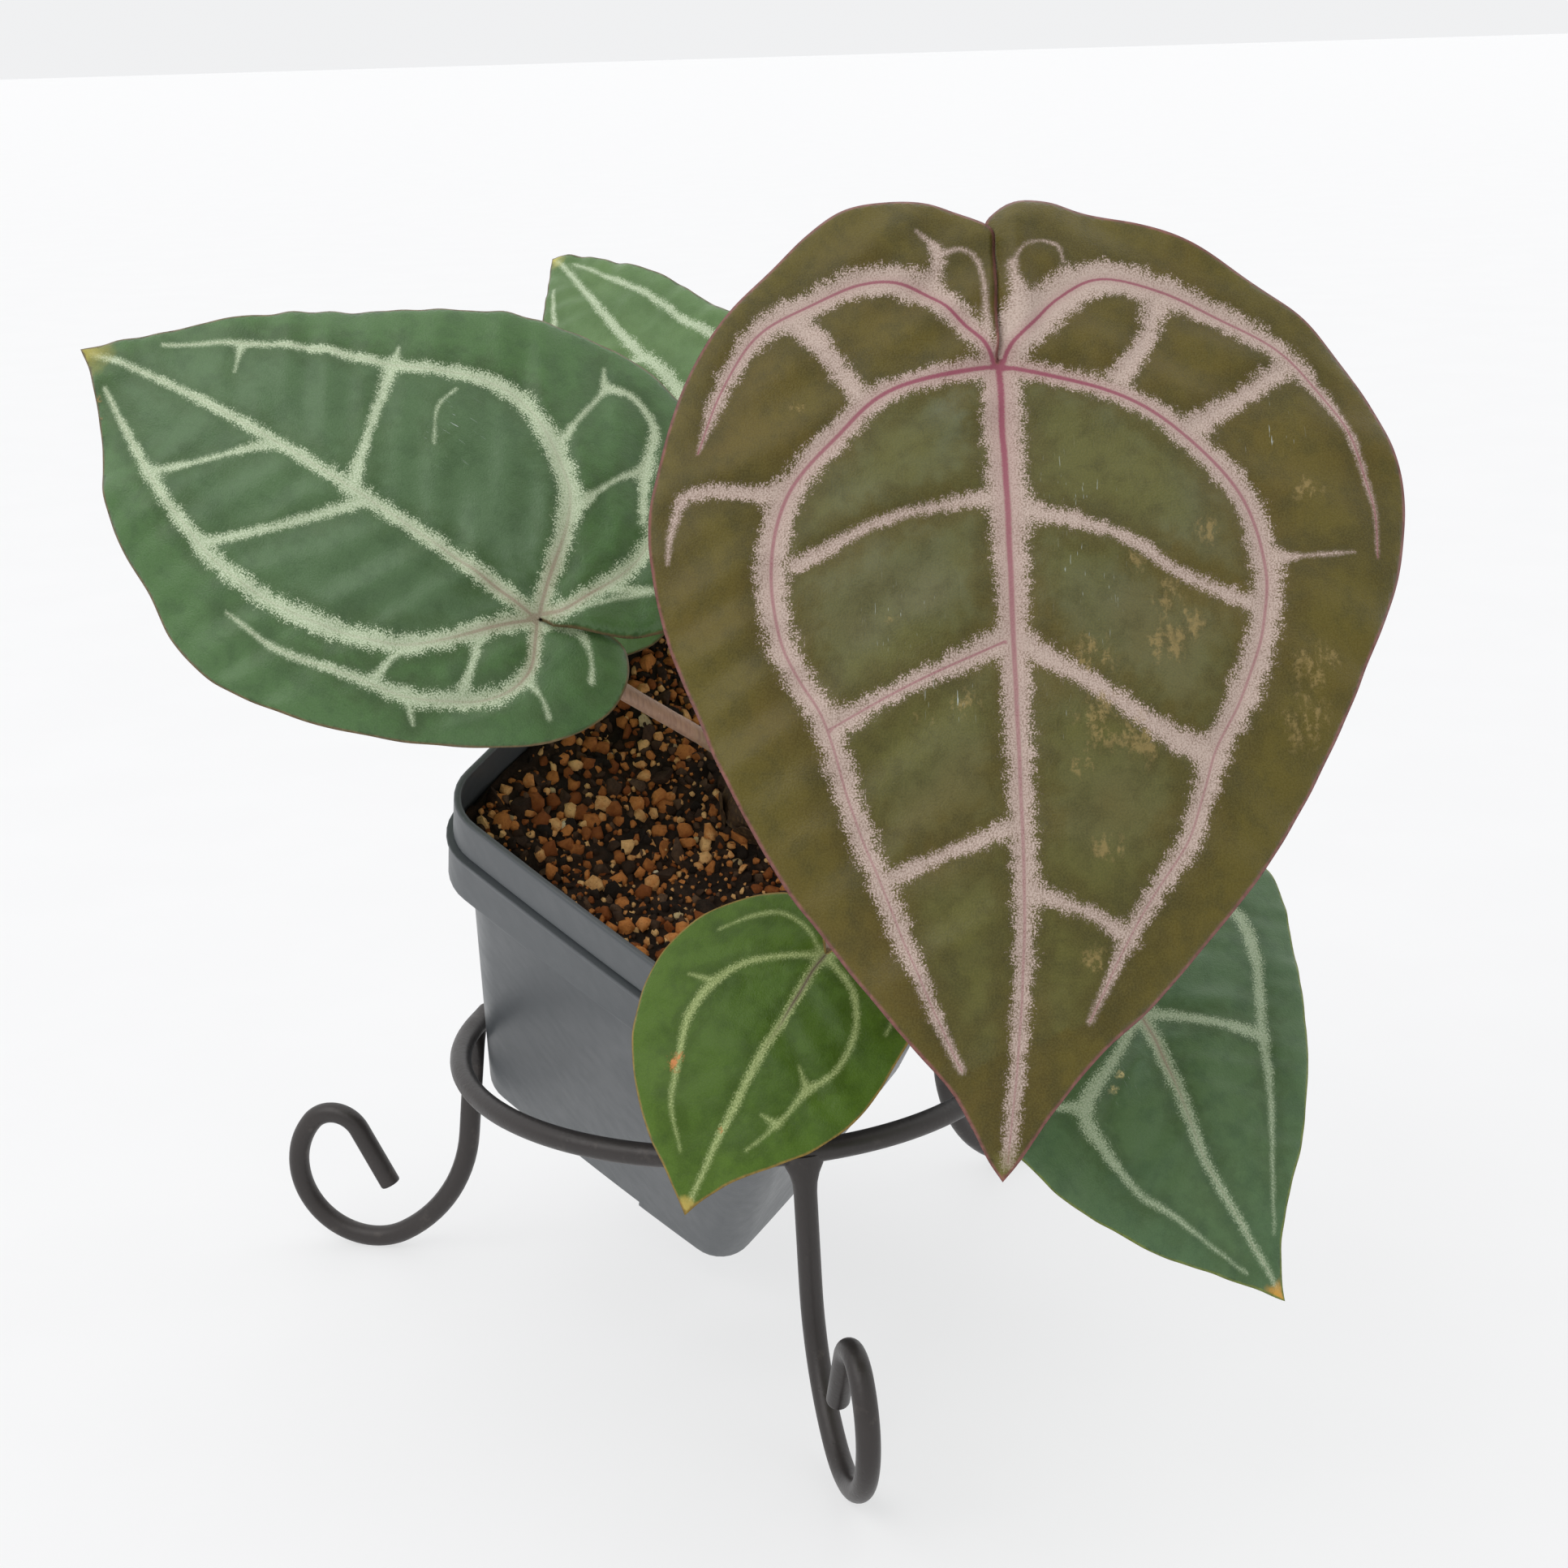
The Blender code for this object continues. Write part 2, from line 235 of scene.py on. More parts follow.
# %% [markdown]
# ## Floor and light
#
# The picture is a bright one: a near-white table, a near-white room and hardly a shadow. A pale plane,
# a white surround that is brighter overhead and dimmer behind the camera, and one big soft lamp from
# the upper left give that. The table also glows a little by itself, as in a light tent, because a
# plain white table would grey under the plant. The Standard view keeps the whites and greens as they
# are picked, where a film-like view would grey them.

# %% Floor and light
bpy.context.scene.view_settings.view_transform = "Standard"
bpy.context.scene.view_settings.look = "None"

FLOOR_HALF = 40.0
table = bpy.data.meshes.new("pale_floor")
corners = [(-FLOOR_HALF, -FLOOR_HALF, 0), (FLOOR_HALF, -FLOOR_HALF, 0), (FLOOR_HALF, FLOOR_HALF, 0),
    (-FLOOR_HALF, FLOOR_HALF, 0)]
table.from_pydata(corners, [], [(0, 1, 2, 3)])
floor = bpy.data.objects.new("pale_floor", table)
bpy.context.scene.collection.objects.link(floor)
paint = Finish("matt_pale_table", Roughness=0.55, Specular_IOR_Level=0.15,
    Emission_Color=(0.995, 0.998, 1.0, 1), Emission_Strength=0.64)
mottle = paint.between(paint.noise(paint.place(), 60, 3), 0.35, 0.7)
table.materials.append(paint.done(paint.mix(mottle, srgb("#878788"), srgb("#89898a"))))
floor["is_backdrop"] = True

surround = bpy.data.worlds.new("white_room")
surround.use_nodes = True
bpy.context.scene.world = surround
sky = surround.node_tree
direction = sky.nodes.new("ShaderNodeTexCoord")
parts = sky.nodes.new("ShaderNodeSeparateXYZ")
sky.links.new(direction.outputs["Generated"], parts.inputs[0])
strength = sky.nodes.new("ShaderNodeMath")
strength.operation = "MULTIPLY"
ROOM_LIGHT = (("Z", 0.0, 1.0, 0.885, 1.14), ("Y", -0.9, 0.1, 0.72, 1.0))  # direction, from, to, light there
for slot, (axis, start, end, least, most) in enumerate(ROOM_LIGHT):
    fade = sky.nodes.new("ShaderNodeMapRange")
    fade.interpolation_type = "SMOOTHSTEP"
    sky.links.new(parts.outputs[axis], fade.inputs["Value"])
    for label, value in zip(("From Min", "From Max", "To Min", "To Max"), (start, end, least, most)):
        fade.inputs[label].default_value = value
    sky.links.new(fade.outputs[0], strength.inputs[slot])
sky.links.new(strength.outputs[0], sky.nodes["Background"].inputs["Strength"])
sky.nodes["Background"].inputs["Color"].default_value = (0.985, 0.99, 1.0, 1)


def soft_lamp(name, at, towards, size, watts, colour):
    """A square lamp that faces a point. Places are in metres."""
    data = bpy.data.lights.new(name, "AREA")
    data.shape = "SQUARE"
    data.size = size
    data.energy = watts
    data.color = colour
    lamp = bpy.data.objects.new(name, data)
    lamp.location = at
    lamp.rotation_euler = (Vector(towards) - Vector(at)).to_track_quat("-Z", "Y").to_euler()
    bpy.context.scene.collection.objects.link(lamp)
    return lamp


soft_lamp("window_light", (-0.75, -0.65, 1.25), (0.0, 0.0, 0.12), 1.2, 7.5, (1.0, 0.99, 0.98))

# %% [markdown]
# ## Plain meshes
#
# Modifiers and node trees are recipes, and the finished part needs plain meshes. `plain` runs an
# object's recipe and keeps the result. `dress` does the last steps that every piece shares: it hangs
# the piece on the body that carries it and hides the solid that it stands for.


def new_object(name, points, faces, edges=()):
    """An object from points in metres, standing at the origin."""
    mesh = bpy.data.meshes.new(name)
    mesh.from_pydata([tuple(p) for p in points], list(edges), faces)
    obj = bpy.data.objects.new(name, mesh)
    bpy.context.scene.collection.objects.link(obj)
    return obj


def plain(obj):
    """What the object's modifiers make becomes its own mesh."""
    bpy.context.view_layer.update()
    graph = bpy.context.evaluated_depsgraph_get()
    made = obj.evaluated_get(graph)
    mesh = bpy.data.meshes.new_from_object(made, preserve_all_data_layers=True, depsgraph=graph)
    obj.modifiers.clear()
    obj.data = mesh
    return obj


def set_values(mesh, name, values, kind="FLOAT"):
    """Stores one number at each point of a mesh, for a material to read."""
    layer = mesh.attributes.new(name, kind, "POINT")
    layer.data.foreach_set("value", np.asarray(values, np.float32))


def dress(obj, node, smooth_under=None):
    """Rounds the shading below an angle, and ties the piece to the frame."""
    obj.data.shade_smooth()
    if smooth_under is not None:
        obj.data.set_sharp_from_angle(angle=math.radians(smooth_under))
    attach(obj, "root")
    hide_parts(node)
    triangles = sum(len(face.vertices) - 2 for face in obj.data.polygons)
    print(f"{obj.name}: {triangles} triangles, stands for {node}")
    return obj


# %% [markdown]
# ## A tree that draws a rod along a line
#
# The stand is bent wire and the leaf stalks are round too, so one Geometry Nodes tree makes them all.
# It turns a line of edges into a curve and sweeps a circle along it. The line carries a number called
# `swell` at every point, so a rod can flare at a weld or thicken at a joint, which a curve's plain
# bevel can't do without extra taper objects.

# %% The rod tree
def new_tree(name, sockets):
    """A Geometry Nodes tree with named inputs. Returns it with its input and output nodes."""
    tree = bpy.data.node_groups.new(name, "GeometryNodeTree")
    tree.interface.new_socket("Geometry", in_out="INPUT", socket_type="NodeSocketGeometry")
    for label, kind in sockets:
        tree.interface.new_socket(label, in_out="INPUT", socket_type="NodeSocket" + kind)
    tree.interface.new_socket("Geometry", in_out="OUTPUT", socket_type="NodeSocketGeometry")
    return tree, tree.nodes.new("NodeGroupInput"), tree.nodes.new("NodeGroupOutput")


def tree_node(tree, kind, inputs, **settings):
    node = tree.nodes.new(kind)
    for key, value in settings.items():
        setattr(node, key, value)
    for key, value in inputs.items():
        if isinstance(value, bpy.types.NodeSocket):
            tree.links.new(value, node.inputs[key])
        else:
            node.inputs[key].default_value = value
    return node


def grown(obj, tree, settings):
    """Runs a tree on an object, with its inputs set by their identifiers, and keeps the plain mesh."""
    modifier = obj.modifiers.new(tree.name, "NODES")
    modifier.node_group = tree
    for item in tree.interface.items_tree:
        if item.in_out == "INPUT" and item.name in settings:
            modifier[item.identifier] = settings[item.name]
    return plain(obj)


rod_tree, given, result = new_tree("rod along a line",
    [("Radius", "Float"), ("Sides", "Int"), ("Finish", "Material")])
line = tree_node(rod_tree, "GeometryNodeMeshToCurve", {"Mesh": given.outputs["Geometry"]})
swell = tree_node(rod_tree, "GeometryNodeInputNamedAttribute", {"Name": "swell"}, data_type="FLOAT")
thick = tree_node(rod_tree, "ShaderNodeMath", {0: given.outputs["Radius"],
    1: swell.outputs["Attribute"]}, operation="MULTIPLY")
circle = tree_node(rod_tree, "GeometryNodeCurvePrimitiveCircle", {"Resolution": given.outputs["Sides"],
    "Radius": 1.0})
rod = tree_node(rod_tree, "GeometryNodeCurveToMesh", {"Curve": line.outputs[0],
    "Profile Curve": circle.outputs["Curve"], "Scale": thick.outputs[0], "Fill Caps": True})
whole = tree_node(rod_tree, "GeometryNodeRealizeInstances", {"Geometry": rod.outputs["Mesh"]})
coated = tree_node(rod_tree, "GeometryNodeSetMaterial", {"Geometry": whole.outputs[0],
    "Material": given.outputs["Finish"]})
rod_tree.links.new(coated.outputs[0], result.inputs[0])


def rod_along(name, points, swells, radius, sides, finish, closed=False, **values):
    """A rod along points in millimetres. Extra values are stored along it for its finish."""
    last = len(points) if closed else len(points) - 1
    edges = [(i, (i + 1) % len(points)) for i in range(last)]
    obj = new_object(name, placed(points), [], edges)
    set_values(obj.data, "swell", swells)
    for label, numbers in values.items():
        set_values(obj.data, label, numbers)
    grown(obj, rod_tree, {"Radius": radius * MM, "Sides": sides, "Finish": finish})
    welded = bmesh.new()
    welded.from_mesh(obj.data)
    bmesh.ops.remove_doubles(welded, verts=welded.verts, dist=1e-7)
    bmesh.ops.recalc_face_normals(welded, faces=welded.faces)
    welded.to_mesh(obj.data)
    welded.free()
    return obj


print("rod tree nodes:", len(rod_tree.nodes))

# %% [markdown]
# ## Finish: powder-coated iron
#
# The wire is iron under a thin brown-black coat with a soft shine. Up close the coat has an
# orange-peel skin, fine pits, and patches that are a shade duller where hands and pots rub it. Two
# sizes of noise in the relief and a slow one in the roughness say that without any picture.

# %% Powder-coated iron
def coated_iron():
    coat = Finish("brown_black_coat", Metallic=0.25, Specular_IOR_Level=0.55)
    here = coat.place()
    slow, peel, pits = coat.noise(here, 14, 3), coat.noise(here, 0.9, 2), coat.cells(here, 1.6)
    worn = coat.between(coat.noise(here, 5, 4, 0.65), 0.56, 0.74)
    colour = coat.mix(slow, srgb("#2e2a29"), srgb("#3c3735"))
    colour = coat.mix(coat.math("MULTIPLY", worn, 0.35), colour, srgb("#5c5550"))
    roughness = coat.between(coat.shaken(slow, peel, 0.4), 0.2, 0.8, 0.34, 0.5)
    relief = coat.bumps(peel, 0.05)
    relief = coat.bumps(coat.between(pits, 0.05, 0.22), 0.03, relief)
    return coat.done(colour, roughness, relief)


IRON = coated_iron()
print("finish:", IRON.name)

# %% [markdown]
# ## The stand
#
# One closed ring carries three legs. Each leg drops from the ring with a slight outward slope, sweeps
# round its foot and curls up into a scroll that ends in a plain saw cut. The leg's line is drawn as
# a maker bends it: straight runs and arcs, one after the other.
# The welds are what makes it look made. The front leg spreads along the ring in two small wings, as
# a fillet of weld metal does, and the foot is worn flat where it stands.

# %% Legs and ring
WIRE_R, RING_R, RING_Z = 2.35, 60.5, 57.5
LEG_TOP_R, LEG_SLOPE = 61.0, 6.8
LEG_BENDS = ((27.0, 0), (34.7, 54), (17.1, 160), (7.1, 112), (14.9, 0))  # run length, or radius and turn
LEG_AZIMUTHS = {"front": -78.4, "left": 165.0, "right": 40.0}


def leg_line():
    """Distance from the ring's axis and height, from the weld down to the end of the scroll."""
    heading = math.radians(-90 + LEG_SLOPE)
    reach, height = LEG_TOP_R, RING_Z
    points = [(reach, height)]
    for size, turn in LEG_BENDS:
        if turn == 0:
            for _ in range(14):
                reach += size / 14 * math.cos(heading)
                height += size / 14 * math.sin(heading)
                points.append((reach, height))
            continue
        middle = (reach - size * math.sin(heading), height + size * math.cos(heading))
        steps = round(turn / 4)
        for i in range(1, steps + 1):
            angle = heading + math.radians(turn) * i / steps
            points.append((middle[0] + size * math.sin(angle), middle[1] - size * math.cos(angle)))
        heading += math.radians(turn)
        reach, height = points[-1]
    points = np.array(points)
    points[:, 1] += WIRE_R - 0.25 - points[:, 1].min()
    return points


def saw_cut(points, swells):
    """Rounds the edge of the cut at the end of a wire."""
    back = (points[-2] - points[-1]) / np.linalg.norm(points[-2] - points[-1])
    points = np.vstack([points[:-1], points[-1] + back * 0.5, points[-1] + back * 0.15, points[-1]])
    return points, np.concatenate([swells[:-1], [1.0, 0.95, 0.84]])


for side_name, azimuth in LEG_AZIMUTHS.items():
    profile = leg_line()
    outward = np.array([math.cos(math.radians(azimuth)), math.sin(math.radians(azimuth)), 0])
    along_ring = np.array([-outward[1], outward[0], 0])
    points = profile[:, :1] * outward + profile[:, 1:] * np.array([0, 0, 1])
    points, swells = saw_cut(points, np.ones(len(points)))
    leg = rod_along("wire_leg_" + side_name, points, swells, WIRE_R, 24, IRON)
    spots = np.array([v.co for v in leg.data.vertices])
    sideways = (spots - UNDER_RING) @ along_ring
    near_ring = (spots - UNDER_RING) @ outward < 66 * MM
    rise = np.clip((spots[:, 2] / MM - (RING_Z - WIRE_R - 7.0)) / 7.0, 0, 1) * near_ring
    spots += np.outer(sideways * 0.7 * rise ** 3, along_ring)
    spots[:, 2] = np.maximum(spots[:, 2], 0.0)
    leg.data.vertices.foreach_set("co", spots.astype(np.float32).ravel())
    dress(leg, "stand_leg_" + side_name, smooth_under=50)

turns = np.radians(np.arange(0, 360, 2.0))
hoop = np.column_stack([RING_R * np.cos(turns), RING_R * np.sin(turns), np.full(len(turns), RING_Z)])
ring = rod_along("wire_ring", hoop, np.ones(len(hoop)), WIRE_R, 24, IRON, closed=True)
spots = np.array([v.co for v in ring.data.vertices])
for azimuth in LEG_AZIMUTHS.values():
    for off, high, size in ((-4.6, 1.2, 0.5), (3.8, 1.6, 0.38), (1.2, -1.4, 0.3)):
        turn = math.radians(azimuth) + off / RING_R
        reach = RING_R + WIRE_R * math.cos(high)
        bead = placed([reach * math.cos(turn), reach * math.sin(turn), RING_Z + WIRE_R * math.sin(high)])
        away = np.linalg.norm(spots - bead, axis=1) / MM
        core = np.array([math.cos(turn), math.sin(turn), 0]) * RING_R * MM + UNDER_RING
        core[2] = RING_Z * MM
        out = spots - core
        out /= np.linalg.norm(out, axis=1)[:, None]
        spots += out * (size * MM * np.exp(-((away / 1.1) ** 2)))[:, None]
ring.data.vertices.foreach_set("co", spots.astype(np.float32).ravel())
dress(ring, "stand_ring")

# %% [markdown]
# ## Finish: moulded pot plastic
#
# A nursery pot is thin grey polypropylene. Its skin is satin with a very fine grain from the mould,
# there are faint upright flow lines, and a little dust and a few pale rubs catch on it. The colour
# hardly changes, so most of the work is in the roughness.

# %% Pot plastic
def pot_plastic():
    skin = Finish("satin_grey_plastic", Specular_IOR_Level=0.5)
    here = skin.place()
    cloud, grain = skin.noise(here, 30, 4), skin.noise(here, 0.35, 2)
    flow = skin.noise(skin.turned(here, (1.0, 1.0, 0.12)), 2.2, 2)
    dust = skin.between(skin.noise(here, 0.8, 3, 0.7), 0.66, 0.76)
    rubs = skin.between(skin.noise(skin.turned(here, (0.35, 1.0, 1.0), 25), 1.3, 3), 0.7, 0.8)
    colour = skin.mix(cloud, srgb("#484c4f"), srgb("#53575a"))
    colour = skin.mix(skin.math("MULTIPLY", dust, 0.22), colour, srgb("#9a9a96"))
    colour = skin.mix(skin.math("MULTIPLY", rubs, 0.18), colour, srgb("#858a8d"))
    roughness = skin.between(skin.shaken(cloud, flow, 0.6), 0.2, 0.8, 0.33, 0.46)
    relief = skin.bumps(grain, 0.03)
    relief = skin.bumps(flow, 0.02, relief)
    return skin.done(colour, roughness, relief)


PLASTIC = pot_plastic()
print("finish:", PLASTIC.name)

# %% [markdown]
# ## The pot
#
# The pot is a lofted shell: one rounded square for each height, from the foot up the outside, over
# the lip and down the inside. A square stretched from a cube would have dead flat sides and hard
# corners, where a moulded one bows out a little and rounds every edge. The outline of the wall is
# given as corners with a radius, and `eased` turns each corner into a small arc, as the mould does.
# Two crossing channels under the foot let water out, cut with a Boolean.

# %% The pot's wall
POT_H, COLLAR, BAND, WALL = 118.5, 13.0, 14.5, 1.3
BASE_HALF, BODY_HALF, BAND_HALF, LEDGE_HALF, LIP_HALF = 36.6, 41.8, 45.1, 45.5, 44.7
BASE_CORNER, TOP_CORNER, BOW = 8.2, 9.2, 0.5
FLOOR_T, CHANNEL_W, CHANNEL_H = 4.5, 24.0, 3.0
SOIL_TOP = 110.0
POT_BASE = (-9.2, 29.1, 39.8)
LEAN_AZIMUTH, LEAN, SPIN = -78.2, 40.8, 53.1


def pot_place():
    """From the upright pot to how it lies in the ring."""
    azimuth = math.radians(LEAN_AZIMUTH)
    hinge = Vector((-math.sin(azimuth), math.cos(azimuth), 0))
    lean = Matrix.Rotation(math.radians(LEAN), 4, hinge)
    return Matrix.Translation(POT_BASE) @ lean @ Matrix.Rotation(math.radians(SPIN), 4, "Z")


LYING = np.array(pot_place())


def laid(points):
    """Points of the upright pot, laid into the ring."""
    points = np.asarray(points, float)
    return points @ LYING[:3, :3].T + LYING[:3, 3]


def rounded_square(half, corner, z, bow=BOW, corner_steps=8, side_steps=8):
    """A square with round corners and sides that bow outward."""
    ring = []
    flat = half - corner
    for quarter in range(4):
        part = []
        for i in range(corner_steps + 1):
            angle = math.pi / 2 * i / corner_steps
            part.append((flat + corner * math.cos(angle), flat + corner * math.sin(angle)))
        for i in range(1, side_steps):
            x = flat * (1 - 2 * i / side_steps)
            part.append((x, half + bow * (1 - (x / flat) ** 2)))
        turn = math.pi / 2 * quarter
        ring += [(x * math.cos(turn) - y * math.sin(turn), x * math.sin(turn) + y * math.cos(turn), z)
            for x, y in part]
    return ring


def eased(corners):
    """A line of (half width, height, radius, corner radius) with each corner turned into an arc."""
    line = []
    for before, here, after in zip([None] + corners[:-1], corners, corners[1:] + [None]):
        radius = here[2]
        if before is None or after is None or radius == 0:
            line.append((here[0], here[1], here[3]))
            continue
        spot = np.array(here[:2])
        back = np.array(before[:2]) - spot
        on = np.array(after[:2]) - spot
        into, out = (min(radius, np.linalg.norm(v) * 0.45) * v / np.linalg.norm(v) for v in (back, on))
        spots = [spot + into * (1 - t) ** 2 + out * t ** 2 for t in (0, 0.25, 0.5, 0.75, 1)]
        if np.linalg.norm(back) > radius * 5:
            spots.insert(0, spot + into * 2.2)
        if np.linalg.norm(on) > radius * 5:
            spots.append(spot + out * 2.2)
        line += [(*place, here[3]) for place in spots]
    return line


def lofted(name, sections, place=laid):
    """A closed shell through sections with equal numbers of points."""
    count = len(sections[0])
    points = [p for section in sections for p in section]
    faces = []
    for row in range(len(sections) - 1):
        for i in range(count):
            j = (i + 1) % count
            a, b = row * count, (row + 1) * count
            faces.append((a + i, a + j, b + j, b + i))
    faces.append(tuple(reversed(range(count))))
    faces.append(tuple(range((len(sections) - 1) * count, len(sections) * count)))
    return new_object(name, placed(place(points)), faces)


# %% [markdown]
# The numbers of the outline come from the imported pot: a foot 73 mm across, a body that widens upward,
# a band that steps out 3 mm, a thin ledge and the collar above it. A groove under the collar holds
# the dark line that runs round the pot.

# %% The pot's shell
GROOVE = 0.95
band_z, ledge_z = POT_H - COLLAR - BAND, POT_H - COLLAR
inner_top = LIP_HALF - WALL
inner_base = BASE_HALF + (BODY_HALF - BASE_HALF) / band_z * FLOOR_T - WALL
wall_outline = [
    (BASE_HALF - 8.0, 0.0, 0, BASE_CORNER - 6),
    (BASE_HALF, 0.0, 1.3, BASE_CORNER),
    (BODY_HALF, band_z, 0.4, TOP_CORNER),
    (BAND_HALF, band_z + 0.2, 0.7, TOP_CORNER),
    (BAND_HALF + 0.15, ledge_z - 1.3, 0.3, TOP_CORNER),
    (LEDGE_HALF + 0.1, ledge_z - 0.9, 0.3, TOP_CORNER),
    (LEDGE_HALF + 0.1, ledge_z + 0.1, 0.2, TOP_CORNER),
    (LIP_HALF - GROOVE, ledge_z + 0.2, 0.1, TOP_CORNER),
    (LIP_HALF - GROOVE, ledge_z + 1.0, 0.1, TOP_CORNER),
    (LIP_HALF, ledge_z + 1.3, 0.3, TOP_CORNER),
    (LIP_HALF + 0.1, POT_H, 0.6, TOP_CORNER),
    (inner_top + 0.1, POT_H, 0.5, TOP_CORNER - 1),
    (inner_top, band_z + 2, 1.0, TOP_CORNER - 1),
    (BODY_HALF - WALL, band_z - 1.5, 1.0, TOP_CORNER - 1),
    (inner_base, FLOOR_T, 1.5, BASE_CORNER - 1),
    (inner_base - 8.0, FLOOR_T, 0, BASE_CORNER - 6),
]
sections = [rounded_square(half, corner, z) for half, z, corner in eased(wall_outline)]
pot = lofted("nursery_pot", sections, place=lambda points: points)
pot.data.materials.append(PLASTIC)

for across in ((120, CHANNEL_W), (CHANNEL_W, 120)):
    shape = bmesh.new()
    bmesh.ops.create_cube(shape, size=1, matrix=Matrix.Translation(Vector(UNDER_RING))
        @ Matrix.Diagonal((across[0] * MM, across[1] * MM, CHANNEL_H * 2 * MM, 1)))
    tool_mesh = bpy.data.meshes.new("channel")
    shape.to_mesh(tool_mesh)
    shape.free()
    tool = bpy.data.objects.new("channel", tool_mesh)
    bpy.context.scene.collection.objects.link(tool)
    cut = pot.modifiers.new("channel", "BOOLEAN")
    cut.operation, cut.solver, cut.object = "DIFFERENCE", "EXACT", tool
    plain(pot)
    bpy.data.objects.remove(tool)
upright = (np.array([v.co for v in pot.data.vertices]) - UNDER_RING) / MM
pot.data.vertices.foreach_set("co", placed(laid(upright)).astype(np.float32).ravel())
pot.data.update()
dress(pot, "pot", smooth_under=40)

# %% [markdown]
# ## Finishes: potting mix
#
# The mix is three things. Peat and bark are nearly black and fibrous. Baked clay crumbs are orange
# to tan, dusty and matt. A few bits of pumice are pale. Each crumb gets its own tone from a random
# number called `tone`, which the scattering tree stores, so neighbours differ as they do in a bag of
# mix.

# %% Potting mix
def crumb_finish(name, dark, mid, pale, pit_shade):
    dry = Finish(name, Specular_IOR_Level=0.2)
    here = dry.place()
    tone = dry.attribute("tone")
    patches = dry.shaken(tone, dry.noise(here, 1.4, 3), 0.6)
    colour = dry.mix(dry.between(patches, 0.05, 0.6), srgb(dark), srgb(mid))
    colour = dry.mix(dry.between(patches, 0.55, 1.05), colour, srgb(pale))
    pits = dry.noise(here, 0.45, 3, 0.7)
    # Painted shade: where the pit relief is low, the crumb is painted darker.
    colour = dry.mix(dry.between(pits, 0.5, 0.3, 0.0, pit_shade), colour, srgb(dark))
    roughness = dry.between(pits, 0.3, 0.7, 0.75, 0.98)
    return dry.done(colour, roughness, dry.bumps(pits, 0.25))


PEAT = crumb_finish("damp_peat", "#1d1610", "#39291e", "#5f4937", 0.5)
CLAY = crumb_finish("baked_clay_crumbs", "#7d4621", "#bd7a40", "#e2b67a", 0.5)
PUMICE = crumb_finish("pumice", "#8a7656", "#c3ad80", "#e0d3b4", 0.5)
print("finishes:", PEAT.name, CLAY.name, PUMICE.name)

# %% [markdown]
# ## The bed of the mix
#
# The bed is a closed body: its top is a mat of rings from the middle out to the wall, each point
# pushed up or down a little, and its sides follow the inside of the pot down to the floor.
# `rolling` adds up a few waves in random directions. It is smooth, quick for thousands of points and
# the same on every run, so it also makes the folds of the leaves further on.

# %% The bed
def rolling(points, wavelength, seed, waves=14):
    """A smooth random height, about -1 to 1, over points in a plane."""
    chance = np.random.default_rng(seed)
    points = np.asarray(points, float)[:, :2]
    total = np.zeros(len(points))
    for _ in range(waves):
        angle, phase = chance.uniform(0, 2 * math.pi, 2)
        pitch = 2 * math.pi / (wavelength * chance.uniform(0.7, 1.5))
        total += np.cos(pitch * (points @ [math.cos(angle), math.sin(angle)]) + phase)
    return total / math.sqrt(waves)


RINGS = 44
rim = np.array(rounded_square(inner_top - 0.35, TOP_CORNER - 1, 0))
mat = [rim * (i / RINGS) for i in range(1, RINGS + 1)]
for ring_points in mat:
    height = 0.9 * rolling(ring_points, 16, 3) + 0.5 * rolling(ring_points, 5, 4)
    height += 0.3 * rolling(ring_points, 2.2, 5)
    ring_points[:, 2] = SOIL_TOP - 1.6 + height
lower = [rounded_square(inner_top - 0.35, TOP_CORNER - 1, band_z + 3),
    rounded_square(BODY_HALF - WALL - 0.35, TOP_CORNER - 1, band_z - 1.5),
    rounded_square(inner_base - 0.35, BASE_CORNER - 1, FLOOR_T + 0.35)]
bed = lofted("bed", lower[::-1] + [list(map(tuple, part)) for part in mat[::-1]])
bed.data.materials.append(PEAT)
set_values(bed.data, "tone", np.clip(0.25 + 0.2 * rolling(np.array([v.co for v in bed.data.vertices])
    / MM, 4, 8), 0, 1))

scatter_rings = mat[:RINGS - 2]
patch_points = placed(laid(np.vstack(scatter_rings)))
count = len(rim)
patch_faces = [(a * count + i, a * count + (i + 1) % count, (a + 1) * count + (i + 1) % count,
    (a + 1) * count + i) for a in range(len(scatter_rings) - 1) for i in range(count)]
print("bed rings:", RINGS, "points a ring:", count)

# %% [markdown]
# ## A tree that scatters crumbs
#
# Thousands of crumbs can't be placed by hand. The tree scatters points on the bed that keep a least
# distance, thins them out in clumps with a noise pattern, and sets one of a few crumb shapes on each
# with a random turn and size. Small crumbs are far more common than large ones, so the random number
# is squared before it becomes a size. Every shape has only about three dozen faces.

# %% Crumb shapes and the scattering tree
def crumb_shapes(name, seed, count, flat=1.0, points=19):
    """Rounded stones: the hulls of a few random points on a lumpy ball."""
    chance = np.random.default_rng(seed)
    shelf = bpy.data.collections.new(name)
    for number in range(count):
        spots = chance.normal(size=(points, 3))
        spots /= np.linalg.norm(spots, axis=1)[:, None]
        spots *= chance.uniform(0.82, 1.0, (points, 1)) * [1, chance.uniform(0.7, 0.95), flat]
        shape = bmesh.new()
        for spot in spots:
            shape.verts.new(spot)
        bmesh.ops.convex_hull(shape, input=shape.verts)
        loose = [v for v in shape.verts if not v.link_faces]
        bmesh.ops.delete(shape, geom=loose, context="VERTS")
        bmesh.ops.recalc_face_normals(shape, faces=shape.faces)
        mesh = bpy.data.meshes.new(f"{name}_{number}")
        shape.to_mesh(mesh)
        shape.free()
        shelf.objects.link(bpy.data.objects.new(mesh.name, mesh))
    return shelf


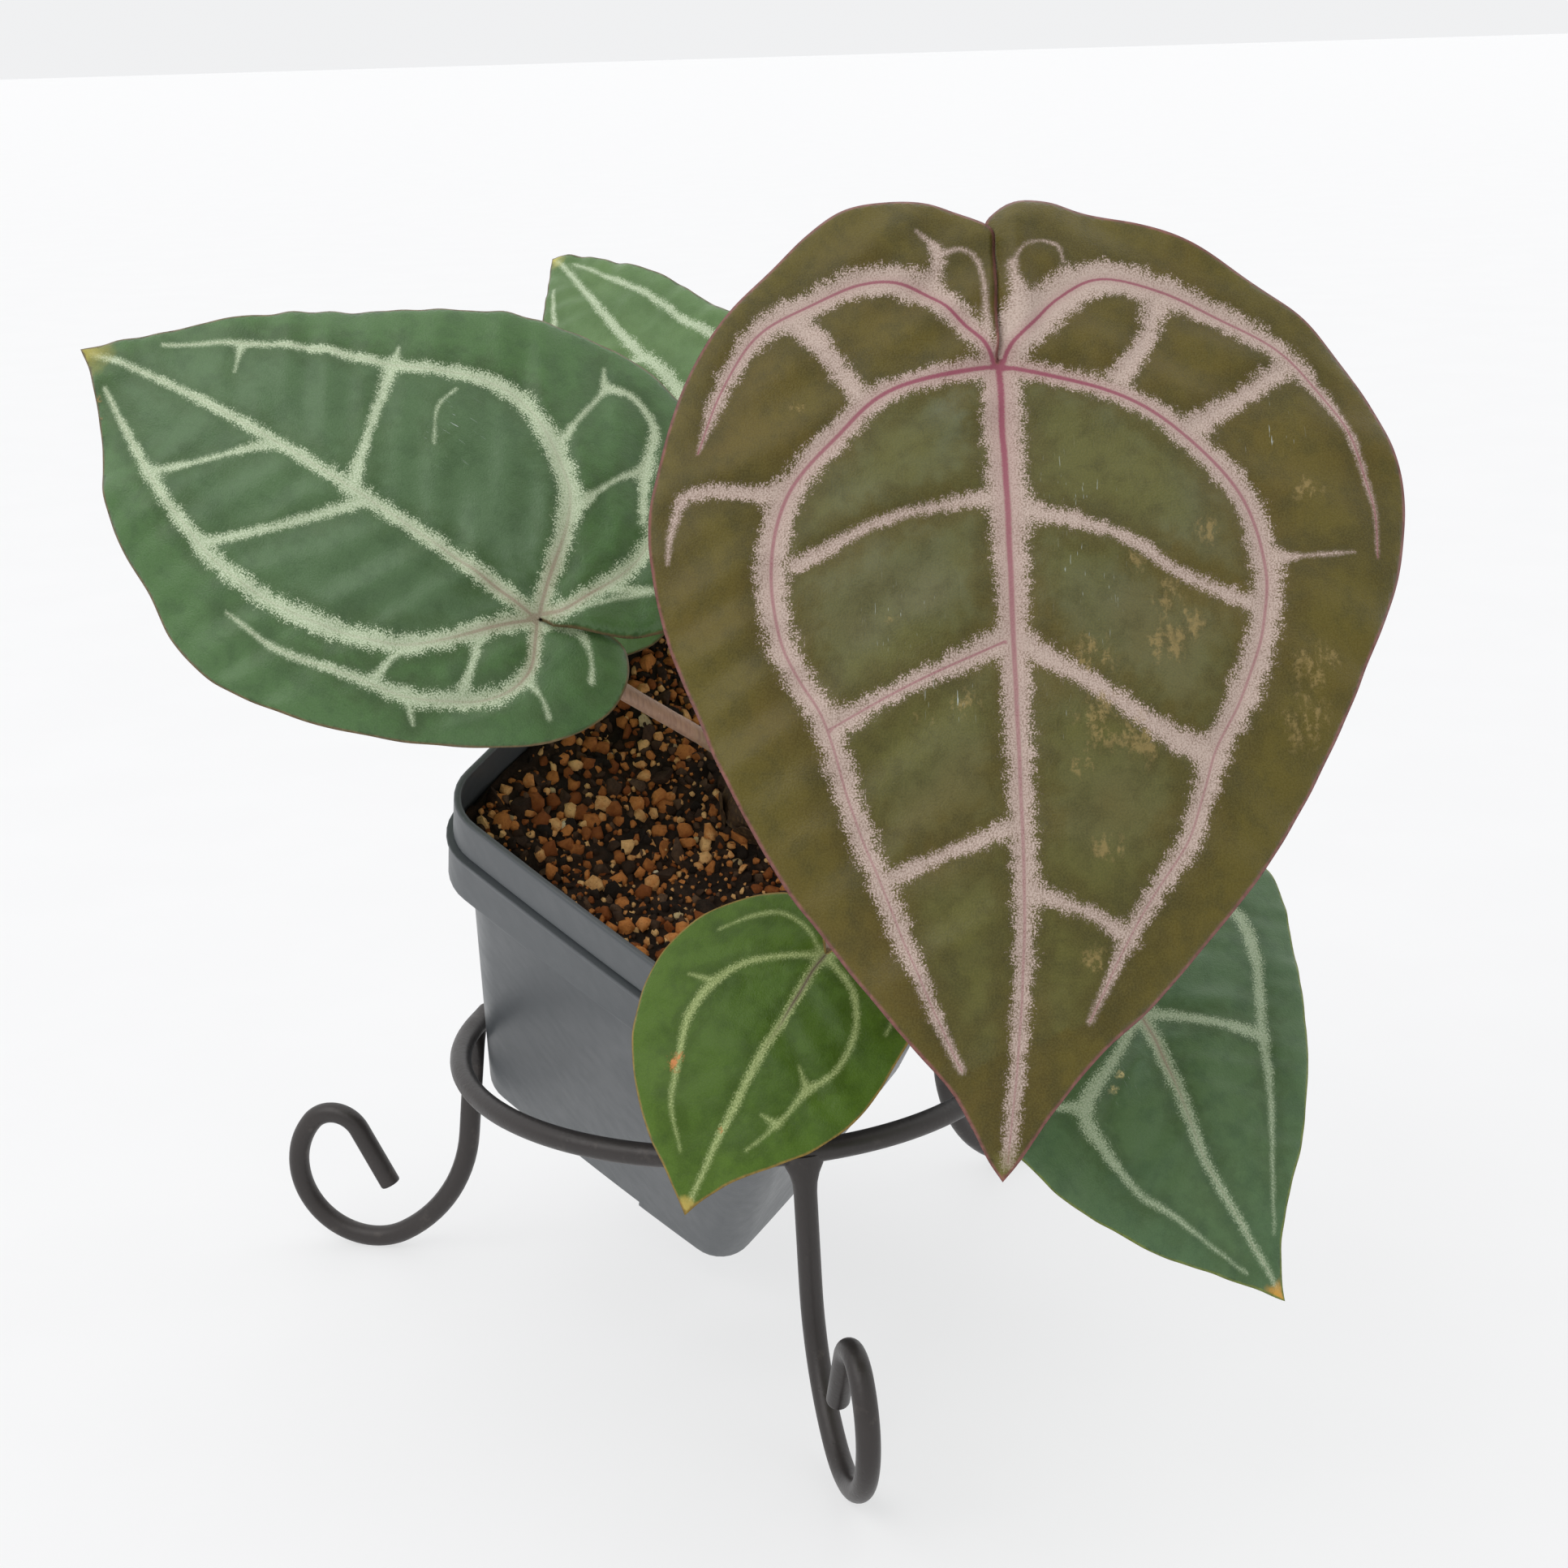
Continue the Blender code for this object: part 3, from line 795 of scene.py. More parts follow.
crumb_tree, given, result = new_tree("scatter crumbs", [("Crumbs", "Collection"), ("Spacing", "Float"),
    ("Density", "Float"), ("Clump Size", "Float"), ("Cover", "Float"), ("Smallest", "Float"),
    ("Largest", "Float"), ("Seed", "Int"), ("Finish", "Material")])
clumps = tree_node(crumb_tree, "ShaderNodeTexNoise", {"Scale": given.outputs["Clump Size"],
    "Detail": 2.0})
kept = tree_node(crumb_tree, "FunctionNodeCompare", {0: clumps.outputs[0], 1: given.outputs["Cover"]},
    data_type="FLOAT", operation="LESS_THAN")
spread = tree_node(crumb_tree, "GeometryNodeDistributePointsOnFaces", {
    "Mesh": given.outputs["Geometry"], "Distance Min": given.outputs["Spacing"],
    "Density Max": given.outputs["Density"], "Seed": given.outputs["Seed"],
    "Density Factor": 1.0, "Selection": kept.outputs[0]}, distribute_method="POISSON")
shelf = tree_node(crumb_tree, "GeometryNodeCollectionInfo", {"Collection": given.outputs["Crumbs"],
    "Separate Children": True, "Reset Children": True})
turn = tree_node(crumb_tree, "FunctionNodeRandomValue", {1: (6.283, 6.283, 6.283),
    8: given.outputs["Seed"]}, data_type="FLOAT_VECTOR")
draw = tree_node(crumb_tree, "FunctionNodeRandomValue", {2: 0.0, 3: 1.0, 8: 71}, data_type="FLOAT")
rarer = tree_node(crumb_tree, "ShaderNodeMath", {0: draw.outputs[1], 1: 2.0}, operation="POWER")
size = tree_node(crumb_tree, "ShaderNodeMapRange", {"Value": rarer.outputs[0],
    "To Min": given.outputs["Smallest"], "To Max": given.outputs["Largest"]})
turned = tree_node(crumb_tree, "FunctionNodeEulerToRotation", {0: turn.outputs[0]})
crumbs = tree_node(crumb_tree, "GeometryNodeInstanceOnPoints", {"Points": spread.outputs["Points"],
    "Instance": shelf.outputs[0], "Pick Instance": True, "Rotation": turned.outputs[0],
    "Scale": size.outputs[0]})
shade = tree_node(crumb_tree, "FunctionNodeRandomValue", {2: 0.0, 3: 1.0, 8: 5}, data_type="FLOAT")
toned = tree_node(crumb_tree, "GeometryNodeStoreNamedAttribute", {"Geometry": crumbs.outputs[0],
    "Name": "tone", "Value": shade.outputs[1]}, data_type="FLOAT", domain="INSTANCE")
whole = tree_node(crumb_tree, "GeometryNodeRealizeInstances", {"Geometry": toned.outputs[0]})
coated = tree_node(crumb_tree, "GeometryNodeSetMaterial", {"Geometry": whole.outputs[0],
    "Material": given.outputs["Finish"]})
crumb_tree.links.new(coated.outputs[0], result.inputs[0])
print("crumb tree nodes:", len(crumb_tree.nodes))

# %% [markdown]
# Five sowings make the mix: dark bark chips everywhere, some big chunks of bark, a fine dust of clay,
# the bigger orange crumbs in clumps, and a few pale stones. The bed and the crumbs are joined into one
# piece, because a hand lifts the mix out of the pot as one thing.

# %% Sow the crumbs
SOWINGS = (
    # name, spacing, density, clump size, cover, smallest, largest, seed, flatness, finish
    ("bark", 1.9, 7e5, 90.0, 1.0, 0.7, 2.0, 11, 0.6, PEAT),
    ("bark_chunks", 5.0, 2e5, 60.0, 0.55, 1.6, 3.6, 15, 0.6, PEAT),
    ("clay_dust", 1.35, 9e5, 75.0, 0.54, 0.4, 1.0, 12, 0.85, CLAY),
    ("clay_crumbs", 2.2, 8e5, 45.0, 0.6, 0.9, 2.7, 13, 0.85, CLAY),
    ("pale_stones", 8.0, 3e4, 60.0, 0.6, 0.8, 2.3, 14, 0.8, PUMICE),
)
layers = [bed]
for name, spacing, density, clump, cover, smallest, largest, seed, flat, finish in SOWINGS:
    shapes = crumb_shapes(name + "_shapes", seed, 7, flat)
    layer = new_object(name, patch_points, patch_faces)
    grown(layer, crumb_tree, {"Crumbs": shapes, "Spacing": spacing * MM, "Density": density,
        "Clump Size": clump, "Cover": cover, "Smallest": smallest * MM, "Largest": largest * MM,
        "Seed": seed, "Finish": finish})
    for shape in list(shapes.objects):
        bpy.data.objects.remove(shape)
    bpy.data.collections.remove(shapes)
    print(f"{name}: {len(layer.data.polygons)} faces")
    layers.append(layer)
with bpy.context.temp_override(active_object=bed, object=bed, selected_editable_objects=layers,
        selected_objects=layers):
    bpy.ops.object.join()
bed.name = bed.data.name = "potting_mix_bed"
dress(bed, "soil", smooth_under=60)

# %% [markdown]
# ## Finish: stalks and crown
#
# An anthurium's stalks are firm and smooth, green-brown at the foot and pink-brown near the blade, with
# fine lengthwise lines and tiny pale pores. The colour follows the stalk, so it is read from a number
# called `along` that the rod carries, from 0 at the foot to 1 at the blade. The crown is brown and
# papery.

# %% Stalk and crown finishes
def stalk_skin():
    skin = Finish("pink_brown_stalk", Roughness=0.5, Sheen_Weight=0.15, Subsurface_Weight=0.0)
    here, along = skin.place(), skin.attribute("along")
    cloud = skin.noise(here, 7, 3)
    rise = skin.shaken(along, cloud, 0.35)
    colour = skin.mix(skin.between(rise, 0.05, 0.45), srgb("#74704a"), srgb("#a5826a"))
    colour = skin.mix(skin.between(rise, 0.5, 0.95), colour, srgb("#b89686"))
    lines = skin.noise(skin.turned(here, (1.0, 1.0, 0.12)), 0.55, 2)
    colour = skin.mix(skin.between(lines, 0.35, 0.7, 0.0, 0.4), colour, srgb("#6d4c40"))
    pit_shade = skin.between(skin.cells(here, 1.3), 0.11, 0.04, 0.0, 0.55)
    colour = skin.mix(pit_shade, colour, srgb("#c9ab95"))
    roughness = skin.between(cloud, 0.3, 0.7, 0.38, 0.55)
    return skin.done(colour, roughness, skin.bumps(lines, 0.08))


def papery_crown():
    paper = Finish("brown_papery_crown", Specular_IOR_Level=0.3)
    here = paper.place()
    cloud, fibre = paper.noise(here, 4, 4), paper.noise(paper.turned(here, (1, 1, 0.15)), 0.5, 3)
    colour = paper.mix(cloud, srgb("#22170e"), srgb("#4a3622"))
    colour = paper.mix(paper.between(fibre, 0.45, 0.7, 0.0, 0.6), colour, srgb("#6e5738"))
    roughness = paper.between(fibre, 0.3, 0.7, 0.6, 0.9)
    return paper.done(colour, roughness, paper.bumps(fibre, 0.25))


STALK, PAPER = stalk_skin(), papery_crown()
print("finishes:", STALK.name, PAPER.name)

# %% [markdown]
# ## The crown
#
# The crown is the short stem that all stalks rise from. Old leaves leave ring scars on it, and dry
# sheaths stand round it. The stem is a loft of rings with a ripple; each sheath is a small curved
# scale, given its thickness by Solidify.

# %% The crown
CROWN_R, CROWN_H, GAP = 7.0, 9.0, 0.3
CROWN_PROFILE = (CROWN_R - 1, CROWN_R, CROWN_R - 0.6, CROWN_R - 1.6, 3.4)
turns = np.radians(np.arange(0, 360, 7.5))
crown_rings = []
for i in range(25):
    t = i / 24
    radius = np.interp(t, [0, 0.22, 0.65, 0.9, 1.0], CROWN_PROFILE)
    radius = radius * (1 + 0.03 * np.sin(3 * turns + 5 * t) + 0.02 * np.sin(7 * turns))
    radius = radius + 0.28 * math.sin(t * 40)
    z = SOIL_TOP - 1.5 + t * (CROWN_H + 1.6)
    crown_rings.append(np.column_stack([radius * np.cos(turns), radius * np.sin(turns), np.full(48, z)]))
crown = lofted("crown_stem", [list(map(tuple, part)) for part in crown_rings])

scales = []
for number in range(6):
    middle, points, faces = math.radians(60 * number + 17), [], []
    for j in range(9):
        up = j / 8
        wide = 0.42 * (1 - up) ** 0.7 + 0.02
        reach = CROWN_R + 0.3 + 0.9 * up ** 2 + 0.2 * math.sin(9 * up + number)
        for i in range(9):
            angle = middle + wide * (i / 4 - 1)
            height = SOIL_TOP - 1 + (6 + number % 3) * up
            points.append((reach * math.cos(angle), reach * math.sin(angle), height))
    faces = [(a * 9 + i, a * 9 + i + 1, a * 9 + i + 10, a * 9 + i + 9) for a in range(8) for i in range(8)]
    scale = new_object(f"sheath_{number}", placed(laid(points)), faces)
    thickness = scale.modifiers.new("thickness", "SOLIDIFY")
    thickness.thickness, thickness.offset = 0.35 * MM, 0
    scales.append(plain(scale))
with bpy.context.temp_override(active_object=crown, object=crown,
        selected_editable_objects=[crown, *scales], selected_objects=[crown, *scales]):
    bpy.ops.object.join()
crown.data.materials.clear()
crown.data.materials.append(PAPER)
dress(crown, "crown", smooth_under=55)

# %% [markdown]
# ## The leaves: where each blade lies
#
# A blade is a thin sheet. Its frame is the point where the stalk meets it, the tip, and the way its
# upper side faces. In that frame a point of the blade is (u, v): u millimetres along the midrib and v
# across it. The sheet arches along the midrib and its sides turn back.

# %% Leaf places
class Blade:
    """Where a leaf lies, and how its sheet is bent."""

    def __init__(self, junction, tip, faces, arch, cup, half):
        self.junction = np.array(junction, float)
        along = np.array(tip, float) - self.junction
        self.length = np.linalg.norm(along)
        self.along = along / self.length
        normal = np.array(faces, float)
        normal -= normal @ self.along * self.along
        self.normal = normal / np.linalg.norm(normal)
        self.across = np.cross(self.normal, self.along)
        self.arch, self.cup, self.half = arch, cup, half

    def bend(self, u, v):
        t = u / self.length
        arch = self.arch * 4 * t * (1 - t) * np.where(t < 0, 0.7, 1.0)
        return arch + self.cup * (v / self.half) ** 2

    def out(self, u, v, lift):
        """Points in millimetres for places on the sheet, lifted along its normal."""
        return (self.junction + np.outer(u, self.along) + np.outer(v, self.across)
            + np.outer(self.bend(u, v) + lift, self.normal))


BLADES = {
    1: Blade((47.5, -93.5, 215.5), (40.5, -155.5, 98.5), (0.0, -0.88, 0.47), 9, -5, 60),
    2: Blade((-33.5, -69.5, 170.0), (-116.5, -43.0, 217.0), (0.02, -0.85, 0.52), 8, -6, 40),
    3: Blade((6.5, -25.0, 183.0), (-34.0, 43.5, 224.0), (-0.32, -0.62, 0.71), 4, -4, 35),
    4: Blade((15.5, -109.0, 117.5), (-9.0, -129.0, 80.0), (-0.16, -0.78, 0.60), 5, -4, 28),
    5: Blade((73.0, -93.5, 98.5), (93.0, -127.0, 57.5), (0.0, -0.78, 0.63), 6, -5, 32),
}
print("blade lengths, mm:", {n: round(float(b.length), 1) for n, b in BLADES.items()})

# %% [markdown]
# ## The stalks
#
# Each stalk rises from the crown and bends over to meet the back of its blade at the notch. It has a
# slight swelling where it joins, the joint that lets the leaf turn to the light. The line is a Bezier
# curve: it leaves the crown upright and arrives from behind the blade.

# %% Stalks
STALK_R, STALK_RING = 1.75, 3.7
SAG = {2: 3.0}  # the second stalk hangs through a little
ROUND_THE_CROWN = (5, 1, 3, 2, 4)
stalk_foot_z = SOIL_TOP + GAP + CROWN_H + GAP + 0.15
up_pot = LYING[:3, 2]
for number, blade in BLADES.items():
    turn = math.radians(72 * ROUND_THE_CROWN.index(number) - 85)
    foot = laid([(STALK_RING * math.cos(turn), STALK_RING * math.sin(turn), stalk_foot_z)])[0]
    arrive = blade.normal * 0.85 + blade.along * 0.5
    arrive /= np.linalg.norm(arrive)
    behind = blade.junction - blade.normal * 3.4
    reach = np.linalg.norm(behind - foot)
    a, b, c, d = foot, foot + up_pot * reach * 0.35, behind - arrive * reach * 0.3, behind
    t = np.linspace(0, 1, 70)[:, None]
    points = (1 - t) ** 3 * a + 3 * t * (1 - t) ** 2 * b + 3 * t ** 2 * (1 - t) * c + t ** 3 * d
    points[:, 2] -= SAG.get(number, 0) * np.sin(math.pi * t[:, 0])
    points = np.vstack([foot - up_pot * 1.4, points, behind + blade.normal * 0.5])
    along = np.concatenate([[0], t[:, 0], [1]])
    swells = 1.06 - 0.16 * np.sin(math.pi * np.clip(along * 1.1, 0, 1))
    swells += 0.16 * np.exp(-((along - 0.955) / 0.035) ** 2) + 0.2 * np.exp(-(along / 0.03) ** 2)
    swells += 0.012 * np.sin(along * 60 + number)
    swells[-1] = 0.75
    stalk = rod_along(f"leaf_stalk_{number}", points, swells, STALK_R, 20, STALK, along=along)
    dress(stalk, f"petiole_{number}", smooth_under=60)

# %% [markdown]
# ## The leaves: outlines and veins
#
# A leaf is drawn as a gardener would describe it: the edge from the notch round each lobe to the tip,
# then each vein as a line with the half width of its pale band along it. The places are millimetres on
# the blade. The parts that other leaves hide are completed to match the half that shows.

# %% Leaf drawings
# An edge is a list of (u, v). A vein is (its line, the half widths of its band along it, the half
# widths of its dark core or nothing).
EDGES = {
    1: ([(-0.9, 0.1), (-2.2, -0.05), (-8, -0.3), (-15, -0.3), (-22, -0.3), (-26.3, -0.5), (-28.6, -3),
            (-30.4, -6.5), (-32, -12), (-32, -18), (-30.1, -25.6), (-26, -31.5), (-20.6, -36.7),
            (-10.3, -44.8), (1.3, -51.4), (13.7, -55.1), (28.5, -57.4), (40, -56.4), (51.2, -53.5),
            (62.1, -48.9), (72.7, -44.4), (88.2, -35.6), (98.3, -27.8), (112, -16.6), (120.6, -8.6),
            (126.8, -4.6), (131.5, -2), (135, 0.4)],
        [(-0.9, 0.1), (-2.4, 0.35), (-7.5, 0.7), (-13, 0.4), (-20, 0.1), (-26.5, -0.1), (-29.8, 0.9),
            (-32, 3.8), (-32.6, 9.4), (-31.2, 15), (-29, 24.8), (-23.8, 35.8), (-16.4, 46.7),
            (-9, 54.7), (3, 62.3), (13.6, 66.3), (22.6, 67.6), (37.4, 65.3), (48.9, 60.5),
            (62.9, 54.4), (75, 48.4), (85.6, 41.6), (96.1, 33.5), (107.6, 23.7), (115.3, 15.4),
            (124.1, 8.2), (131.6, 3.2), (135, 0.4)]),
    2: ([(-0.5, -0.3), (-5.2, -2.9), (-10.7, -5.2), (-15.1, -7.6), (-19, -11), (-22, -14.8),
            (-24.5, -19), (-25.5, -26), (-23, -35), (-17, -43), (-8, -49.5), (3.2, -52.9),
            (9.4, -54.1), (19.6, -53.3), (32.8, -48.9), (45.6, -41.5), (63.7, -28.8), (81.3, -14.9),
            (92, -5), (98.9, 0)],
        [(-0.5, -0.3), (-4.5, -1.6), (-8.5, -3.3), (-12, -4.4), (-15.9, -3.9), (-18.8, -0.8),
            (-20, 2.6), (-19.9, 7.7), (-17, 14.1), (-12.1, 19.9), (-4.9, 24.9), (7.7, 31.9),
            (21, 37.4), (32.6, 40.1), (42.3, 40.9), (52.4, 38.3), (60.2, 33.4), (68.8, 29),
            (76.6, 22.8), (83.5, 14.4), (90, 7.4), (94.5, 3), (98.9, 0)]),
    3: ([(-0.6, 0), (-8, -3), (-16, -9), (-19, -20), (-14, -32), (-2, -38), (12, -37), (28, -30),
            (42.6, -20.6), (48.5, -18.6), (61.7, -15.4), (75, -9.8), (86.8, -2.9), (90, 0)],
        [(-0.6, 0), (-8, 2.5), (-13, 9), (-14, 18), (-13, 27.5), (-12, 34.5), (-6.6, 40.9), (6, 42.5),
            (25, 39), (45, 30), (60, 20.5), (68.3, 13.8), (76, 8.4), (84, 3.6), (90, 0)]),
    4: ([(-0.6, 0), (-4, -2.6), (-6.6, -6.5), (-7.7, -11.3), (-3.6, -18), (3.5, -23.8),
            (13.3, -26.2), (22.5, -24.8), (29.2, -22), (36.1, -16.7), (41.2, -11.8), (44.8, -6.9),
            (47.6, -3.4), (50.1, -0.6)],
        [(-0.6, 0), (-4, 2.6), (-7, 6), (-8.5, 10), (-6, 16), (0, 19.6), (6.6, 20.3), (16.7, 20),
            (24.6, 18.6), (31.3, 14.8), (36.7, 9.9), (42.8, 3.9), (47, 1), (50.1, -0.6)]),
    5: ([(-0.6, 0), (-6, -3.5), (-13, -6), (-18, -16), (-14, -27), (-4, -33.6), (8, -33.8),
            (17.5, -31.2), (24.3, -28.9), (31.8, -24.8), (40.8, -18), (48.2, -9.8), (53, -4),
            (56.6, -0.1)],
        [(-0.6, 0), (-6, 2.5), (-14, 5), (-24, 12), (-28.5, 24), (-26.5, 33.5), (-19.8, 38.8),
            (-11, 37.2), (-2.8, 33.6), (9.1, 28.4), (19.6, 23), (32.7, 14.9), (39.5, 9), (46.2, 4),
            (51, 1.6), (56.6, -0.1)]),
}
VEINS = {
    1: [([(-0.5, 0.3), (23, 0.9), (46, 1.5), (65, 2.2), (90, 3.1), (109, 2.8), (132, 1.2)],
            (3.4, 3.1, 2.4, 2.0, 1.5, 1.1), (0.6, 0.5, 0.35, 0.25, 0.15)),
        ([(0, 0), (5.1, -17.5), (14.3, -26.9), (24.7, -34.9), (37.6, -37.3), (51.4, -35.2),
            (63.6, -28.6), (77.9, -24), (89.4, -19.4), (103.2, -13.6), (118.1, -6.4)],
            (1.7, 2.1, 2.5, 2.6, 2.3, 2.0, 1.6, 0.5), (0.42, 0.36, 0.3, 0.22, 0.18, 0.12)),
        ([(0, 0.5), (4.4, 17.6), (11.6, 29.5), (23.1, 39.8), (35.9, 43.1), (47.2, 41.9),
            (58.2, 38.2), (67.8, 33.5), (80.8, 29.5), (90, 23.9), (97.7, 19.5), (110.3, 13.5)],
            (1.7, 2.0, 2.4, 2.4, 2.6, 2.0, 1.4, 0.4), (0.42, 0.36, 0.3, 0.22, 0.18, 0.12)),
        ([(-0.5, -0.3), (-7.5, -5.2), (-14.6, -13.3), (-15.6, -22.9), (-10.6, -33.2), (-4.6, -40.6),
            (4.7, -45.9), (16.9, -49.7)], (1.4, 2.4, 3.0, 2.7, 2.6, 1.9, 1.4, 0.2), (0.36, 0.3, 0.25, 0.12)),
        ([(-0.5, 0.8), (-7, 5.6), (-13.5, 11), (-17.4, 18.6), (-15.6, 28.2), (-10.9, 37.8),
            (-5.2, 47.3), (2.2, 53.8), (11.2, 58.7), (23.1, 61.9), (33.3, 61.9)],
            (2.2, 4.0, 3.4, 2.6, 2.3, 1.6, 0.8, 0.45, 0.15), (0.3, 0.25, 0.2, 0.12)),
        ([(24.6, -1), (29.1, -17.7), (36.9, -33.5)], (1.6, 0.9, 0.85, 1.5), None),
        ([(49.9, 0), (56.9, -13.9), (65, -28)], (2.3, 1.6, 1.5, 2.4), (0.2, 0.2)),
        ([(80.3, 1), (85.5, -11.2), (89.4, -19.4)], (1.6, 1.0, 1.5), None),
        ([(27, 2.5), (31.3, 19.2), (38, 29.6), (42.4, 40.6)], (2.0, 1.2, 0.95, 1.5), None),
        ([(49.5, 2), (57.7, 15.9), (64.1, 24.9), (68, 32.5)], (2.4, 1.6, 1.6, 2.6), None),
        ([(90, 4), (94, 14.4), (97.4, 19.8)], (1.7, 1.0, 1.4), None),
        ([(8.5, -22), (2, -26), (-5.5, -31.5), (-9, -35)], (1.6, 1.9, 2.6), None),
        ([(24.5, -36), (24.3, -50.2), (30.1, -53.3), (37.2, -54.2)], (1.9, 1.2, 1.2, 0.7, 0.2), None),
        ([(-13.9, -11), (-19, -10), (-23, -10.4), (-25.6, -13.1)], (1.7, 1.3, 1.1, 0.25), None),
        ([(-21, -9.5), (-22.4, -6), (-20.5, -3.2), (-12.4, -2.2), (-5, -2)],
            (0.5, 0.35, 0.3, 0.45, 0.8), None),
        ([(1.8, 20.5), (-5, 25), (-14.5, 28)], (2.2, 1.5, 2.4), None),
        ([(11.8, 31), (6, 39), (-1.5, 49)], (2.4, 1.6, 1.9), None),
        ([(34, 45), (32.5, 58)], (1.2, 0.4, 0.3, 0.15), None),
        ([(-19, 3.2), (-22.5, 5), (-24, 8), (-23, 10.8), (-20, 11.5)], (0.1, 0.22, 0.15, 0.3, 0.1), None),
        ([(-4, 3), (-9, 4), (-14, 4), (-19, 3.2)], (2.6, 2.4, 1.1, 0.4), None)],
    2: [([(0, 0), (39.7, -1.2), (75.8, -1.6), (97, 0)], (1.8, 1.4, 1.0, 0.5), (0.3, 0.22, 0.12)),
        ([(0, -0.8), (4.8, -18.6), (10.4, -26.2), (22.7, -33.2), (33.3, -32.6), (46.7, -25.8),
            (58.9, -21.2), (73.9, -14), (85, -7.6)], (1.4, 1.9, 2.1, 1.7, 1.2, 0.9, 0.6, 0.3),
            (0.35, 0.2, 0.12)),
        ([(0.5, 0.6), (11.7, 13.8), (21.2, 20.1), (37.6, 23.6), (51.5, 22.9), (60.6, 20),
            (70.1, 16), (79.6, 10.7), (89.6, 4.7)], (1.6, 1.6, 1.8, 1.6, 1.3, 1.0, 0.35),
            (0.3, 0.2, 0.12)),
        ([(39, -1), (43.1, -14.1), (46.5, -25)], (1.3, 0.8, 1.2), None),
        ([(35.5, -0.5), (45.8, 10.6), (56, 21)], (1.1, 0.75, 1.0), None),
        ([(55.5, -1), (64, 7), (72, 14.6)], (0.9, 0.55, 0.8), None),
        ([(14, -30.5), (13.5, -45.9)], (1.2, 0.5, 0.45, 0.6), None),
        ([(16.1, -48.9), (13.5, -45.9), (8.6, -47.1), (3.6, -45.2), (1.3, -42.7), (-0.8, -36.5),
            (-3.6, -31), (-6.4, -26.5)], (0.25, 0.8, 0.7, 0.8, 1.2, 1.2, 0.9, 0.8), None),
        ([(4.7, -21), (2.4, -29), (-0.4, -35.6)], (1.5, 0.5, 0.45, 0.8), None),
        ([(0, -0.8), (-3.6, -4.6), (-6.2, -9.9), (-8.4, -15.5), (-9.4, -22), (-8.4, -30),
            (-3.4, -38.5)], (1.2, 1.4, 1.6, 1.5, 1.2, 0.6), (0.3, 0.2, 0.1)),
        ([(-7.0, -12), (-9.4, -12.9), (-14, -16), (-17, -17.4)], (0.9, 0.8, 0.6, 0.2), None),
        ([(-6.2, -6.4), (-9.3, -10.1), (-12.2, -13.6), (-14, -16)], (0.15, 0.2, 0.25, 0.5), None),
        ([(-0.5, 0.8), (-2.2, 4), (-4.2, 8.5), (-3.6, 13.2), (-0.5, 17.7), (5, 21.7), (11.4, 25.2),
            (21.9, 27.6), (35.1, 30.3), (46, 29.4)], (1.1, 1.2, 1.6, 1.5, 1.3, 1.0, 0.75, 0.5, 0.25),
            (0.3, 0.2, 0.12)),
        ([(-4.2, 11), (-8.6, 12.2), (-11.8, 14.6)], (1.1, 0.45, 0.3, 0.4), None),
        ([(-1.5, 0.8), (-4.4, -0.8), (-7.9, -1.6), (-10.6, -0.2), (-13.0, 2.2), (-14.6, 4.8)],
            (1.0, 1.0, 0.9, 0.6, 0.35, 0.6), None),
        ([(12, 24.5), (8, 28.6)], (0.7, 0.25), None),
        ([(15.5, 16.4), (16.8, 20.6), (17.4, 26)], (1.2, 0.55, 0.8), None),
        ([(6.6, 8.6), (4.8, 13.2), (3.6, 18.5)], (1.2, 0.6, 1.0), None),
        ([(46.7, -25.8), (47.7, -29.4)], (0.7, 0.2), None),
        ([(72, -14.3), (69.8, -9.3)], (0.6, 0.15), None),
        ([(34.4, -28), (34.9, -22.8), (31.4, -16.3)], (0.18, 0.22, 0.1), None)],
    3: [([(0, 0), (34, -2), (48, -0.6), (64, -0.4), (83, -0.6), (89, 0)], (1.9, 1.7, 1.3, 0.8, 0.5), None),
        ([(0, -0.6), (5, -17), (16, -22), (30, -17.5), (44.8, -12.6), (58.9, -10.1), (74, -5.5),
            (83, -2.6)], (1.4, 1.6, 1.5, 1.1, 0.9, 0.7, 0.3), None),
        ([(0, 0.6), (5, 17), (16, 25), (32, 24), (50, 17.5), (66, 10.5), (79, 4.4)],
            (1.4, 1.7, 1.7, 1.4, 1.0, 0.3), None),
        ([(24, -1), (30, -17.5)], (1.1, 1.0), None), ([(22, 0), (32, 24)], (1.1, 1.2), None),
        ([(44, 0), (53, 16)], (0.9, 0.8), None),
        ([(-0.4, -0.8), (-9, -9), (-11, -19), (-5, -29), (8, -31)], (1.4, 1.6, 1.4, 0.8), None),
        ([(-0.4, 0.8), (-8, 10), (-9, 20), (-4, 31), (10, 34), (26, 32)], (1.4, 1.6, 1.5, 0.9, 0.3), None),
        ([(8, 20), (4, 34)], (0.9, 0.5), None)],
    4: [([(0, 0), (24, -0.2), (49, -0.6)], (0.95, 0.85, 0.7, 0.45), (0.14, 0.08)),
        ([(0.3, -0.6), (4.6, -7.5), (8.5, -11.8), (15, -14.6), (21.4, -14.9), (28.2, -12.8),
            (34.9, -10.4), (41, -5.6)], (0.5, 0.6, 0.75, 0.8, 0.6, 0.4, 0.15), None),
        ([(0.3, 0.6), (3.5, 7.5), (9.6, 11.8), (17.4, 12.2), (22.6, 9.6), (29.9, 7.8), (36, 5)],
            (0.5, 0.6, 0.55, 0.5, 0.6, 0.35, 0.15), None),
        ([(-0.2, -0.8), (-2.9, -5), (-3.6, -10.7), (-0.6, -15.2), (4, -19)], (0.3, 0.35, 0.4, 0.2), None),
        ([(-0.2, 0.8), (-3, 5.4), (-3, 10.5), (1, 15.4), (8, 16.6)], (0.3, 0.35, 0.3, 0.15), None),
